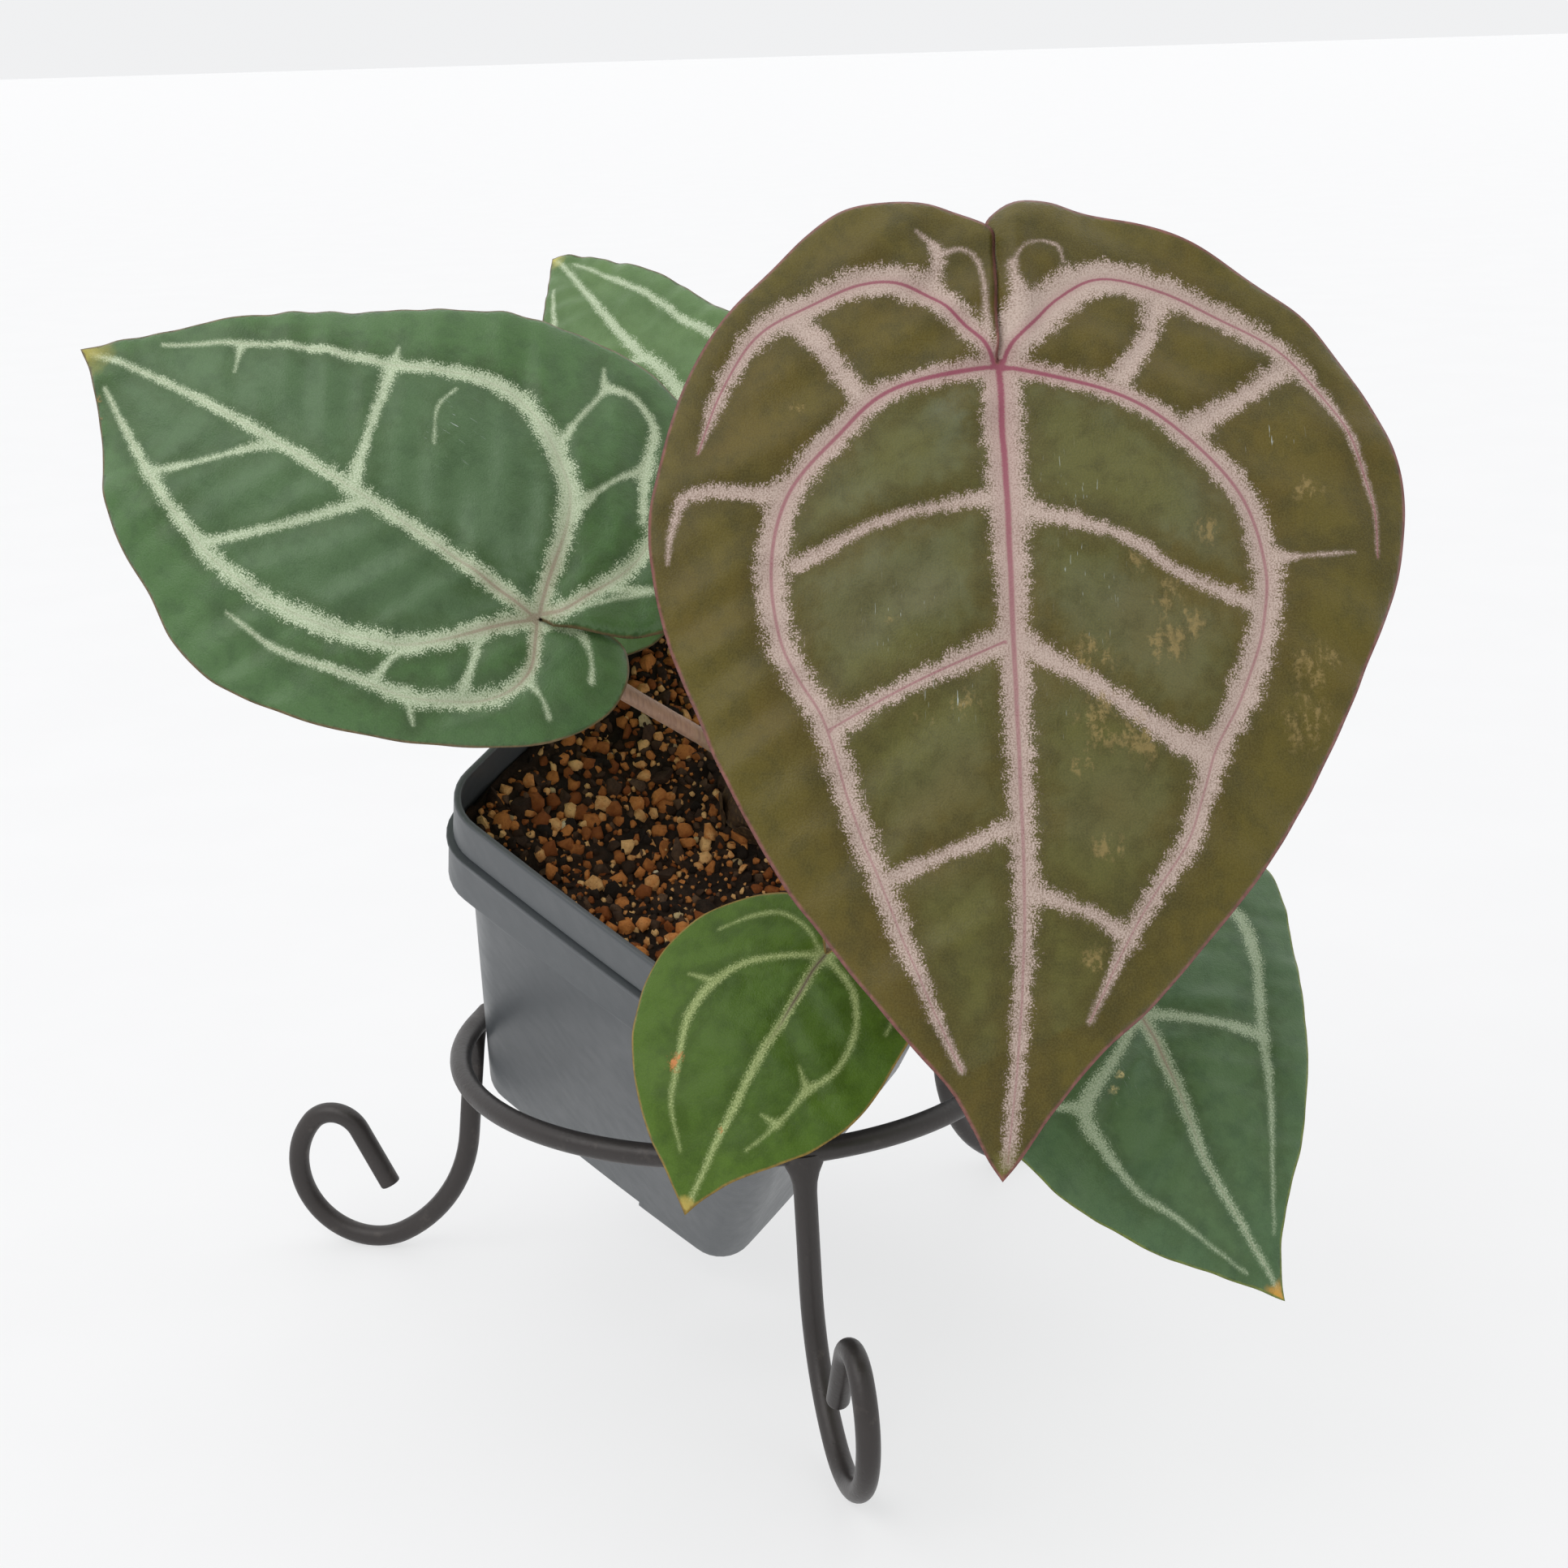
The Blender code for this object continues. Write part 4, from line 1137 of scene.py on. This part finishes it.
        ([(13, -15), (13.6, -19)], (0.5, 0.15), None), ([(22.6, 9.6), (19.5, 6.4)], (0.5, 0.15), None),
        ([(29.9, 7.8), (29.6, 4.6)], (0.45, 0.12), None)],
    5: [([(0, 0), (16.2, -1.6), (29.8, -3.2), (42.5, -2.2), (55.6, -0.4)], (1.5, 1.2, 0.95, 0.75, 0.4),
            (0.2, 0.12)),
        ([(0.5, -0.6), (7.1, -9.6), (12.7, -17.6), (20.2, -18.4), (30.3, -16.3), (36.9, -12.4),
            (44, -8.6), (50, -4.6)], (0.9, 1.0, 1.5, 1.2, 0.7, 0.6, 0.3, 0.15), None),
        ([(-0.5, 0.8), (-8, 8), (-14.5, 18), (-13.1, 26.6), (-2, 24.9), (12.3, 17.7), (24, 12.8),
            (35.7, 7), (46, 2.4)], (1.1, 1.2, 1.3, 1.4, 1.0, 0.9, 0.6, 0.3, 0.15), None),
        ([(0.4, 0.6), (5.3, 7.6), (12.6, 16.9)], (1.2, 0.9, 1.3), None),
        ([(12.7, -17.6), (10, -24), (12, -29)], (1.2, 0.7, 0.3), None),
        ([(-0.5, -0.8), (-7, -8), (-9.5, -16), (-4, -25), (6, -28.5)], (1.0, 1.1, 1.0, 0.4), None)],
}
print("veins drawn:", sum(len(lines) for lines in VEINS.values()))

# %% [markdown]
# ## From a drawing to a sheet
#
# A leaf could be a grid bent over a curve, but its edge, its notch and its veins would then cut across
# the squares. Here the edge and every vein are lines that the triangles must follow, and the space
# between is filled with evenly spaced points. The vein's middle then runs along real edges, so both
# the groove in the shape and the dark line in the colour stay sharp.

# %% Lines and distances
def drawn(points, step):
    """A smooth line through the points (Catmull-Rom), with a point about every `step` millimetres."""
    points = np.array(points, float)
    ends = np.vstack([2 * points[0] - points[1], points, 2 * points[-1] - points[-2]])
    line = [points[:1]]
    for a, b, c, d in zip(ends, ends[1:], ends[2:], ends[3:]):
        count = max(1, round(np.linalg.norm(c - b) / step))
        t = (np.arange(1, count + 1) / count)[:, None]
        bend = (2 * a - 5 * b + 4 * c - d) * t ** 2 + (3 * b - a - 3 * c + d) * t ** 3
        line.append(0.5 * (2 * b + (c - a) * t + bend))
    return np.vstack(line)


def distance_to(points, line):
    """How far each point is from a line, and how far along the line the nearest place is, 0 to 1."""
    nearest = np.full(len(points), 1e9)
    share = np.zeros(len(points))
    lengths = np.linalg.norm(np.diff(line, axis=0), axis=1)
    before = np.concatenate([[0], np.cumsum(lengths)])
    for a, b, start, length in zip(line, line[1:], before, lengths):
        along = np.clip((points - a) @ (b - a) / length ** 2, 0, 1)
        away = np.linalg.norm(points - a - along[:, None] * (b - a), axis=1)
        closer = away < nearest
        nearest[closer] = away[closer]
        share[closer] = ((start + along * length) / before[-1])[closer]
    return nearest, share


def inside(points, outline):
    """Which points lie inside a closed outline: they cross it an odd number of times."""
    odd = np.zeros(len(points), bool)
    for a, b in zip(outline, np.roll(outline, -1, axis=0)):
        if a[1] == b[1]:
            continue
        spans = (a[1] > points[:, 1]) != (b[1] > points[:, 1])
        odd ^= spans & (points[:, 0] < a[0] + (b[0] - a[0]) * (points[:, 1] - a[1]) / (b[1] - a[1]))
    return odd


def triangulated(outline, lines, step):
    """Points and triangles that fill the outline and follow the lines."""
    low, high = outline.min(axis=0), outline.max(axis=0)
    rows = []
    for number, y in enumerate(np.arange(low[1], high[1], step * 0.866)):
        x = np.arange(low[0] + step / 2 * (number % 2), high[0], step)
        rows.append(np.column_stack([x, np.full(len(x), y)]))
    grid = np.vstack(rows)
    grid = grid[inside(grid, outline)]
    grid = grid[distance_to(grid, np.vstack([outline, outline[:1]]))[0] > step * 0.5]
    for line in lines:
        near = np.all((grid > line.min(axis=0) - step) & (grid < line.max(axis=0) + step), axis=1)
        crowded = np.zeros(len(grid), bool)
        crowded[near] = distance_to(grid[near], line)[0] < step * 0.45
        grid = grid[~crowded]
    rim = len(outline)
    edges, start = [(i, (i + 1) % rim) for i in range(rim)], rim
    for line in lines:
        edges += [(start + i, start + i + 1) for i in range(len(line) - 1)]
        start += len(line)
    points = np.vstack([outline, *lines, grid])
    while True:
        places, _, faces, sources, *_ = delaunay_2d_cdt([Vector(p) for p in points], edges, [], 1, 0.01)
        number = [min(source) if source else rim for source in sources]
        chords = {tuple(sorted(pair)) for face in faces for pair in zip(face, face[1:] + face[:1])
            if max(number[pair[0]], number[pair[1]]) < rim
            and (number[pair[0]] - number[pair[1]]) % rim not in (1, rim - 1)}
        if not chords:
            return np.array([tuple(p) for p in places]), [tuple(face) for face in faces]
        points = np.vstack([points] + [[(places[a] + places[b]) / 2] for a, b in chords])


print("point test:", inside(np.array([[0.5, 0.5], [2, 2]]), np.array([[0, 0], [1, 0], [1, 1], [0, 1]])))

# %% [markdown]
# ## Relief: grooves, pillows and folds
#
# The pale veins lie in grooves and the green between them swells like a quilt. Each vein therefore
# lowers the sheet with a rounded groove as deep as its band is wide. Slow ripples run from the
# midrib outward, the edge waves a little, and a few places have folds of their own: beside the notch
# the big leaf's right lobe rolls under, and on the second leaf the upper lobe laps over the lower one.

# %% Relief of a blade
MARKS = {  # (u, v, radius, height) of single swellings
    1: [(-7.7, 4.2, 2.6, 0.7), (-4.0, 9.5, 3.2, 0.9), (-9, -12, 4, 0.3), (0, 0.3, 3.5, -0.9)],
    2: [(0, 0, 3.5, -1.0), (8, -9, 6, 0.5), (4, 7, 4.5, 0.5)],
    3: [(0, 0, 3.5, -0.8)], 4: [(0, 0, 2.4, -0.6)], 5: [(0, 0, 3.0, -0.8)],
}
QUILT = {1: 1.6, 2: 1.7, 3: 1.2, 4: 0.8, 5: 1.2}
NOTCH_EDGES = {  # the two edges of the notch as (u, v), from the far end to the stalk
    1: ([(-28.6, -3), (-26.3, -0.5), (-22, -0.3), (-15, -0.3), (-8, -0.3), (-2.2, -0.05), (-0.9, 0.1)],
        [(-29.8, 0.9), (-26.5, -0.1), (-20, 0.1), (-13, 0.4), (-7.5, 0.7), (-2.4, 0.35), (-0.9, 0.1)]),
    2: ([(-24.5, -19), (-22, -14.8), (-19, -11), (-15.1, -7.6), (-10.7, -5.2), (-5.2, -2.9), (-0.5, -0.3)],
        [(-18.8, -0.8), (-15.9, -3.9), (-12, -4.4), (-8.5, -3.3), (-4.5, -1.6), (-0.5, -0.3)]),
}


def notch_folds(number, u, v):
    """How far the sheet lifts and slides across beside the notch. Only two of the leaves show it."""
    lift, slide = np.zeros(len(u)), np.zeros(len(u))
    if number not in NOTCH_EDGES:
        return lift, slide
    left_edge, right_edge = (np.interp(u, *zip(*edge)) for edge in NOTCH_EDGES[number])
    on_left = v < (left_edge + right_edge) / 2
    from_left, from_right = np.maximum(left_edge - v, 0), np.maximum(v - right_edge, 0)
    if number == 1:  # the right lobe dives under the left one, behind a round ridge
        reach = np.clip(-(u + 0.9) / 3, 0, 1) * np.clip((u + 34) / 6, 0, 1)
        ridge = 1.9 * np.exp(-((from_right - 3.8) / 2.6) ** 2) - 2.0 * np.exp(-(from_right / 1.6) ** 2)
        lift = np.where(on_left, 0.6 * np.exp(-from_left / 4), ridge)
        slide = np.where(on_left, 0.45 * np.exp(-(from_left / 3) ** 2),
            -(right_edge + 1.2) * np.exp(-(from_right / 3) ** 2))
    else:  # the upper lobe laps over the lower one, with a curled edge
        reach = np.clip(-(u + 0.5) / 3, 0, 1) * np.clip((u + 24) / 6, 0, 1)
        lap = 2.6 * np.exp(-from_left / 6) - 1.5 * np.exp(-(from_left / 0.9) ** 2)
        lift = np.where(on_left, lap, -1.3 * np.exp(-from_right / 4))
        slide = np.where(on_left, 2.1 * np.exp(-from_left / 5), -0.5 * np.exp(-from_right / 4))
    return lift * reach, slide * reach


def relief(number, places, near_veins, to_edge):
    """Heights in millimetres above the plain bent sheet."""
    u, v = places[:, 0], places[:, 1]
    quilt = QUILT[number]
    groove = np.zeros(len(u))
    for away, band in near_veins:
        depth = quilt * np.clip(band / 2.4, 0.12, 1)
        groove = np.maximum(groove, depth * np.exp(-(away / (band * 0.7 + 1.5)) ** 1.6))
    lift = quilt * 0.55 - groove
    size = 1.0 if number in (1, 2) else 0.6
    fan = np.column_stack([u - 0.55 * np.abs(v), v * 0.3])
    lift += (0.5 if number == 1 else 0.38) * size * rolling(fan, 9 * size + 1, 20 + number)
    lift += 0.55 * size * rolling(places, 27 * size, 40 + number)
    lift += 0.8 * size * rolling(places, 30 * size, 60 + number) * np.exp(-to_edge / 7)
    lift -= 0.7 * size * np.exp(-to_edge / 2.5)
    for mark_u, mark_v, radius, height in MARKS[number]:
        lift += height * np.exp(-((u - mark_u) ** 2 + (v - mark_v) ** 2) / radius ** 2)
    return lift


print("quilt depths, mm:", QUILT)

# %% [markdown]
# ## Two sides and an edge
#
# The blade is half a millimetre thick in the middle and runs out to a thin edge. So the upper and the
# lower side share the points of the outline, which closes the sheet without a rim of tiny faces. On
# the lower side the veins stand out as round ribs, as they do on the plant. Each point also stores
# what the finish needs: how near it is to a vein's middle, to the edge, to the tip, and to a scar.

# %% Build a blade
SHEET = 200.0  # one unit of the leaf's UV map spans this many millimetres
SOFT = 0.5  # how far two bands that meet run into each other, in millimetres
BLUSH = {1: 55, 2: 9, 3: 6, 4: 5, 5: 8}  # how far the dark core's colour reaches from the stalk
SCARS = {  # (u, v, radius) of tan patches
    1: [(46.4, 29.3, 4.2), (41.6, 26.8, 3.2), (36, 21, 2.6), (63, 15.8, 5.4), (66, 21, 4.4),
        (20.9, 50.9, 3.2),
        (83.2, 16.3, 3.0), (52.2, 50.5, 4.5), (61.8, 48.8, 5), (50, 26, 4), (30.3, 33.3, 2.6),
        (101.6, 14.4, 3), (60.8, -6.1, 2.8), (62.2, -12.6, 2.2), (46, -17.7, 1.6), (70, 12, 3),
        (52, 14, 4), (9, -33, 1.8)],
    2: [(89.7, 6.9, 1.3), (87.6, 10.4, 1.0), (88.6, 8.6, 0.9)],
    3: [], 4: [(28.9, -13.6, 1.7), (27.2, -13.0, 1.1), (35, -1, 1)],
    5: [(9.9, -9.4, 1.0), (12.2, -11.9, 1.0), (8, -13, 0.7)],
}
SCUFFS = {1: [(22.8, 12.2, 5), (37, 11, 5), (40, 15, 4), (47, 13.9, 3.5), (61.9, 6.8, 4), (60, -8, 4),
    (46, -17, 5), (11, 45, 4)], 2: [(30, -20, 5)], 3: [], 4: [], 5: [(11, -11, 3)]}


def strongest(places, spots):
    """How strongly each point belongs to the nearest of some round patches, 0 to 1."""
    value = np.zeros(len(places))
    for u, v, radius in spots:
        value = np.maximum(value, np.exp(-((places[:, 0] - u) ** 2 + (places[:, 1] - v) ** 2) / radius ** 2))
    return value


def vein_values(number, places, vein_lines):
    """How each point lies to the veins: (distance, half width) of each one, and the finish's values."""
    near, soft, closest = [], np.zeros(len(places)), np.full(len(places), 99.0)
    core, run, width = np.full(len(places), 9.0), np.zeros(len(places)), np.ones(len(places))
    for index, (line, widths, dark_widths) in enumerate(vein_lines):
        away, share = distance_to(places, line)
        band = np.interp(share, np.linspace(0, 1, len(widths)), widths)
        near.append((away, band))
        soft += np.exp(-(away - band) / SOFT)
        nearer = away - band < closest
        closest = np.where(nearer, away - band, closest)
        run = np.where(nearer, (share * len(line) + 150 * index) / SHEET, run)
        width = np.where(nearer, band, width)
        if dark_widths:
            dark = np.interp(share, np.linspace(0, 1, len(dark_widths)), dark_widths)
            core = np.minimum(core, away / dark)
    values = {"cell": -SOFT * np.log(soft + 1e-30), "core": core, "run": run,
        "barb": np.clip(width / 1.7, 0.25, 1)}
    return near, values


def build_blade(number, step, finish):
    blade = BLADES[number]
    left, right = (drawn(half, 0.9) for half in EDGES[number])
    outline = np.vstack([left, right[-2:0:-1]])
    vein_lines = [(drawn(line, 1.0), widths, core) for line, widths, core in VEINS[number]]
    places, faces = triangulated(outline, [line for line, _, _ in vein_lines], step)
    to_edge = distance_to(places, np.vstack([outline, outline[:1]]))[0]
    near_veins, values = vein_values(number, places, vein_lines)
    from_joint = np.hypot(places[:, 0], places[:, 1])
    loop = np.vstack([vein_lines[1][0], vein_lines[2][0][::-1]])
    values.update({
        "margin": to_edge, "tip": np.linalg.norm(places - outline[len(left) - 1], axis=1),
        "blush": np.exp(-np.maximum(from_joint - 10, 0) / BLUSH[number]),
        "loop": inside(places, loop).astype(float),
        "scar": strongest(places, SCARS[number]), "scuff": strongest(places, SCUFFS[number]),
    })

    fold, slide = notch_folds(number, *places.T)
    lift = relief(number, places, near_veins, to_edge) + fold
    across = places[:, 1] + slide
    thin = np.clip(to_edge / 1.2, 0, 1) ** 0.5 * (0.5 if number < 3 else 0.4)
    rib = np.max([0.45 * band * np.exp(-(away / (0.35 * band + 0.25)) ** 2) for away, band in near_veins],
        axis=0) * np.clip(to_edge / 3, 0, 1)
    inner = np.flatnonzero(to_edge > 1e-3)
    upper = blade.out(places[:, 0], across, lift + thin / 2)
    lower = blade.out(places[inner, 0], across[inner], (lift - thin / 2 - rib)[inner])
    below = np.arange(len(places))
    below[inner] = len(places) + np.arange(len(inner))
    a, b, c = faces[0]
    if np.cross(upper[b] - upper[a], upper[c] - upper[a]) @ blade.normal < 0:
        faces = [face[::-1] for face in faces]
    faces += [tuple(int(below[i]) for i in face[::-1]) for face in faces]
    obj = new_object(f"leaf_blade_{number}", placed(np.vstack([upper, lower])), faces)

    both = np.concatenate([np.arange(len(places)), inner])
    values["under"] = np.zeros(len(places))
    for name, numbers in values.items():
        numbers = numbers[both]
        if name == "under":
            numbers[len(places):] = 1.0
        set_values(obj.data, name, numbers)
    corners = np.empty(len(obj.data.loops), np.int32)
    obj.data.loops.foreach_get("vertex_index", corners)
    sheet = obj.data.uv_layers.new(name="sheet")
    spots = (places + [45, 80])[both][corners] / SHEET
    sheet.data.foreach_set("uv", spots.astype(np.float32).ravel())
    obj.data.materials.append(finish)
    return dress(obj, f"leaf_{number}")


print("scars drawn:", sum(len(spots) for spots in SCARS.values()))

# %% [markdown]
# ## Finish: velvet leaf
#
# The colour of such a leaf follows its veins. Between them it is dark and velvety, a shade browner
# towards each vein. Each vein carries a silvery band whose border is feathered, because single cells
# drop out of it. A picture could hold that, but it would blur up close. The numbers on the mesh know
# how far every point is from a band, so noise can fray the border at any distance.
# The fraying noise is stretched across the vein, in the direction in which the real barbs run.

# %% Leaf finish
def leaf_finish(name, look):
    leaf = Finish(name, unit=SHEET, Specular_IOR_Level=look["shine"], Sheen_Weight=look["velvet"],
        Sheen_Roughness=0.45, Sheen_Tint=srgb("#dfe8ea"))
    sheet = leaf.add("ShaderNodeUVMap", {}, uv_map="sheet")
    cell, core, margin, run, barb = (leaf.attribute(a) for a in ("cell", "core", "margin", "run", "barb"))
    blush, loop = leaf.attribute("blush"), leaf.attribute("loop")
    broad, cloud = leaf.noise(sheet, 26, 3), leaf.noise(sheet, 5, 4, 0.6)
    grain = leaf.between(leaf.noise(sheet, 0.3, 2, 0.6), 0.32, 0.68)
    speck = leaf.between(leaf.noise(sheet, 1.0, 3, 0.7), 0.32, 0.68)
    blot = leaf.between(leaf.noise(sheet, 3.2, 2), 0.35, 0.65)

    across = leaf.math("MULTIPLY", cell, 0.3 / SHEET)
    barbs = leaf.noise(leaf.add("ShaderNodeCombineXYZ", {0: run, 1: across}), 1.5, 4, 0.72)
    fray = leaf.shaken(0.0, leaf.between(barbs, 0.34, 0.66), look["barbs"])
    fray = leaf.shaken(leaf.shaken(fray, speck, look["barbs"] * 0.7), blot, look["barbs"] * 0.8)
    border = leaf.math("ADD", cell, leaf.math("MULTIPLY", leaf.shaken(fray, grain, 1.5), barb))

    drift = leaf.add("ShaderNodeTexNoise", {"Vector": sheet, "Scale": SHEET / 5, "Detail": 2.0}, out="Color")
    wavy = leaf.add("ShaderNodeVectorMath", {0: drift, 1: (3.0 / SHEET,) * 3, 2: sheet},
        operation="MULTIPLY_ADD")
    net = leaf.add("ShaderNodeTexVoronoi", {"Vector": wavy, "Scale": SHEET / look["net"]},
        feature="DISTANCE_TO_EDGE")

    deep = leaf.between(leaf.shaken(cell, blot, 2.5), 0.0, look["rim_width"])
    outer = leaf.mix(deep, srgb(look["outer_rim"]), srgb(look["outer"]))
    inner = leaf.mix(deep, srgb(look["inner_rim"]), srgb(look["inner"]))
    # Painted sheen: near the stalk the middles of the cells are mixed towards a grey-green that is partly
    # their own tone and partly painted sheen of the bright light above.
    grey_green_sheen = leaf.math("MULTIPLY", leaf.math("MULTIPLY", blush, deep),
        leaf.between(broad, 0.35, 0.62, 0.1, look["grey_green_sheen_most"]))
    inner = leaf.mix(grey_green_sheen, inner, srgb(look["grey_green_sheen"]))
    colour = leaf.mix(loop, outer, inner)
    colour = leaf.mix(leaf.between(broad, 0.4, 0.7, 0.0, 0.5), colour, srgb(look["drift"]))
    colour = leaf.mix(leaf.between(cloud, 0.44, 0.68, 0.0, 0.42), colour, srgb(look["dark"]))
    colour = leaf.mix(leaf.between(net, 0.04, 0.0, 0.0, 0.12), colour, srgb(look["dark"]))
    colour = leaf.mix(leaf.math("MULTIPLY", grain, look["grain"]), colour, srgb(look["speck"]))

    band = leaf.mix(leaf.between(leaf.shaken(border, grain, 1.6), 0.1, -1.8), srgb(look["band"]),
        srgb(look["band_pale"]))
    band = leaf.mix(leaf.math("MULTIPLY", grain, 0.45), band, srgb(look["band_dark"]))
    colour = leaf.mix(leaf.between(border, 0.5, -0.6, 0.0, look["band_cover"]), colour, band)
    line = leaf.between(leaf.shaken(core, grain, 0.5), 1.35, 0.5)
    strength = leaf.between(blush, 0.0, 1.0, look["core_far"], look["core_near"])
    colour = leaf.mix(leaf.math("MULTIPLY", line, strength), colour, srgb(look["core"]))
    halo = leaf.between(leaf.shaken(core, grain, 1.2), 6.0, 0.8, 0.0, look["halo"])
    colour = leaf.mix(leaf.math("MULTIPLY", halo, blush), colour, srgb(look["core"]))

    scarred = leaf.math("MULTIPLY", leaf.attribute("scar"), leaf.between(speck, 0.1, 0.9, 0.5, 1.0))
    streak = leaf.noise(leaf.turned(sheet, (0.5, 1.0, 1.0), -35), 2.2, 4, 0.65)
    scarred = leaf.math("MULTIPLY", scarred, leaf.between(streak, 0.35, 0.65, 0.3, 1.4))
    scarred = leaf.between(leaf.shaken(scarred, cloud, 1.2), 0.3, 1.0, 0.0, look["scarring"])
    colour = leaf.mix(scarred, colour, srgb(look["scar"]))
    scratch = leaf.noise(leaf.turned(sheet, (0.1, 1.0, 1.0), 8), 0.4, 2, 0.6)
    scuffed = leaf.math("MULTIPLY", leaf.between(scratch, 0.66, 0.72), leaf.attribute("scuff"))
    colour = leaf.mix(leaf.math("MULTIPLY", scuffed, 0.7), colour, srgb("#c3ccca"))
    end = leaf.between(leaf.shaken(leaf.attribute("tip"), cloud, 7.0), look["tip_reach"], 0.8)
    colour = leaf.mix(end, colour, srgb(look["tip"]))
    colour = leaf.mix(leaf.between(leaf.shaken(margin, cloud, 0.5), look["margin_width"], 0.12), colour,
        srgb(look["margin"]))

    back = leaf.mix(leaf.between(cell, 0.8, -0.6), srgb(look["back"]), srgb(look["back_vein"]))
    back = leaf.mix(leaf.between(cloud, 0.3, 0.8, 0.0, 0.35), back, srgb(look["back_dark"]))
    colour = leaf.mix(leaf.attribute("under"), colour, back)

    gloss = leaf.shaken(leaf.between(border, -0.3, 0.5, look["dull"] + 0.1, look["dull"]), cloud, 0.16)
    gloss = leaf.shaken(gloss, grain, 0.08)
    bumps = leaf.bumps(leaf.between(net, 0.0, 0.35), 0.07)
    bumps = leaf.bumps(leaf.shaken(grain, speck, 1.0), 0.03, bumps)
    bumps = leaf.bumps(scarred, 0.08, bumps)
    return leaf.done(colour, gloss, bumps)


BRONZE = dict(shine=0.22, velvet=0.02, dull=0.37, barbs=0.8, net=8.0, rim_width=7.0, outer="#584e1a",
    outer_rim="#463d12", inner="#595726", inner_rim="#4a451c", grey_green_sheen="#5d6b5e", grey_green_sheen_most=0.85,
    drift="#5c4b1b", dark="#363316", grain=0.16, speck="#8a8048", band="#a9958a", band_pale="#c6b3a8",
    band_dark="#8a7568", band_cover=0.95, core="#8b4256", core_far=0.3, core_near=0.9, halo=0.22,
    scar="#a18a58", scarring=0.5, tip="#6f6c36", tip_reach=6.0, margin="#94605a", margin_width=0.7,
    back="#8b7d5b", back_vein="#a98f76", back_dark="#74694a")
GREEN = dict(BRONZE, shine=0.38, barbs=0.7, net=7.0, rim_width=5.0, outer="#486b38", outer_rim="#3c572b",
    inner="#4a6740", inner_rim="#3f5a31", grey_green_sheen="#5c6f58", grey_green_sheen_most=0.7, drift="#517045", dark="#304c28",
    grain=0.12, speck="#7b9470", band="#aebd9c", band_pale="#ccd8bb", band_dark="#95a880",
    band_cover=0.93, core="#8f7063", core_far=0.12, core_near=0.5, halo=0.3, scar="#b5804a", scarring=0.8,
    tip="#a39a45", tip_reach=8.0, margin="#7d6a48", margin_width=0.45, back="#86a06c",
    back_vein="#a9bb8a", back_dark="#6f8a58")
LOOKS = {
    1: BRONZE,
    2: GREEN,
    3: dict(GREEN, outer="#587844", outer_rim="#4c6b37", inner="#567543", inner_rim="#4b6936",
        grey_green_sheen="#607b52", drift="#638247", dark="#41622b", speck="#82a067", tip="#bdb24a", tip_reach=6.0),
    4: dict(GREEN, shine=0.2, barbs=0.45, net=5.0, rim_width=3.5, outer="#48641b", outer_rim="#3c5514",
        inner="#445f1c", inner_rim="#38510f", grey_green_sheen="#52702f", drift="#557029", dark="#2c440f",
        speck="#72893f", band="#93a268", band_pale="#b0bd83", band_dark="#77884a", band_cover=0.9,
        core="#4f2a38", core_far=0.0, core_near=0.6, halo=0.5, tip="#b3a052", tip_reach=3.0,
        margin="#9a7f3c", scar="#cf8650", scarring=0.9),
    5: dict(GREEN, shine=0.32, barbs=0.5, net=6.0, rim_width=4.5, outer="#4e6a42", outer_rim="#435c34",
        inner="#536f44", inner_rim="#475f38", grey_green_sheen="#5a755a", drift="#4e6e4c", dark="#344f32",
        speck="#718b66", band="#9bac8b", band_pale="#b9c6a8", band_dark="#7d936f", band_cover=0.9,
        tip="#d09a3a", tip_reach=4.0, margin="#7d8a3e", scar="#d8c88a"),
}
print("looks:", {number: look["outer"] for number, look in LOOKS.items()})

# %% [markdown]
# ## Make the five leaves
#
# The step is the distance between the points of a blade in millimetres. Small leaves have finer veins,
# so they get a smaller step.

# %% Blades
STEPS = {1: 0.95, 2: 0.85, 3: 0.95, 4: 0.55, 5: 0.75}
for number, step in STEPS.items():
    name = ("bronze" if number == 1 else "green") + f"_velvet_{number}"
    build_blade(number, step, leaf_finish(name, LOOKS[number]))

# %% [markdown]
# ## Measure and finish
#
# The box round all the visual pieces, without the floor, is measured.

# %% Measure
low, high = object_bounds()
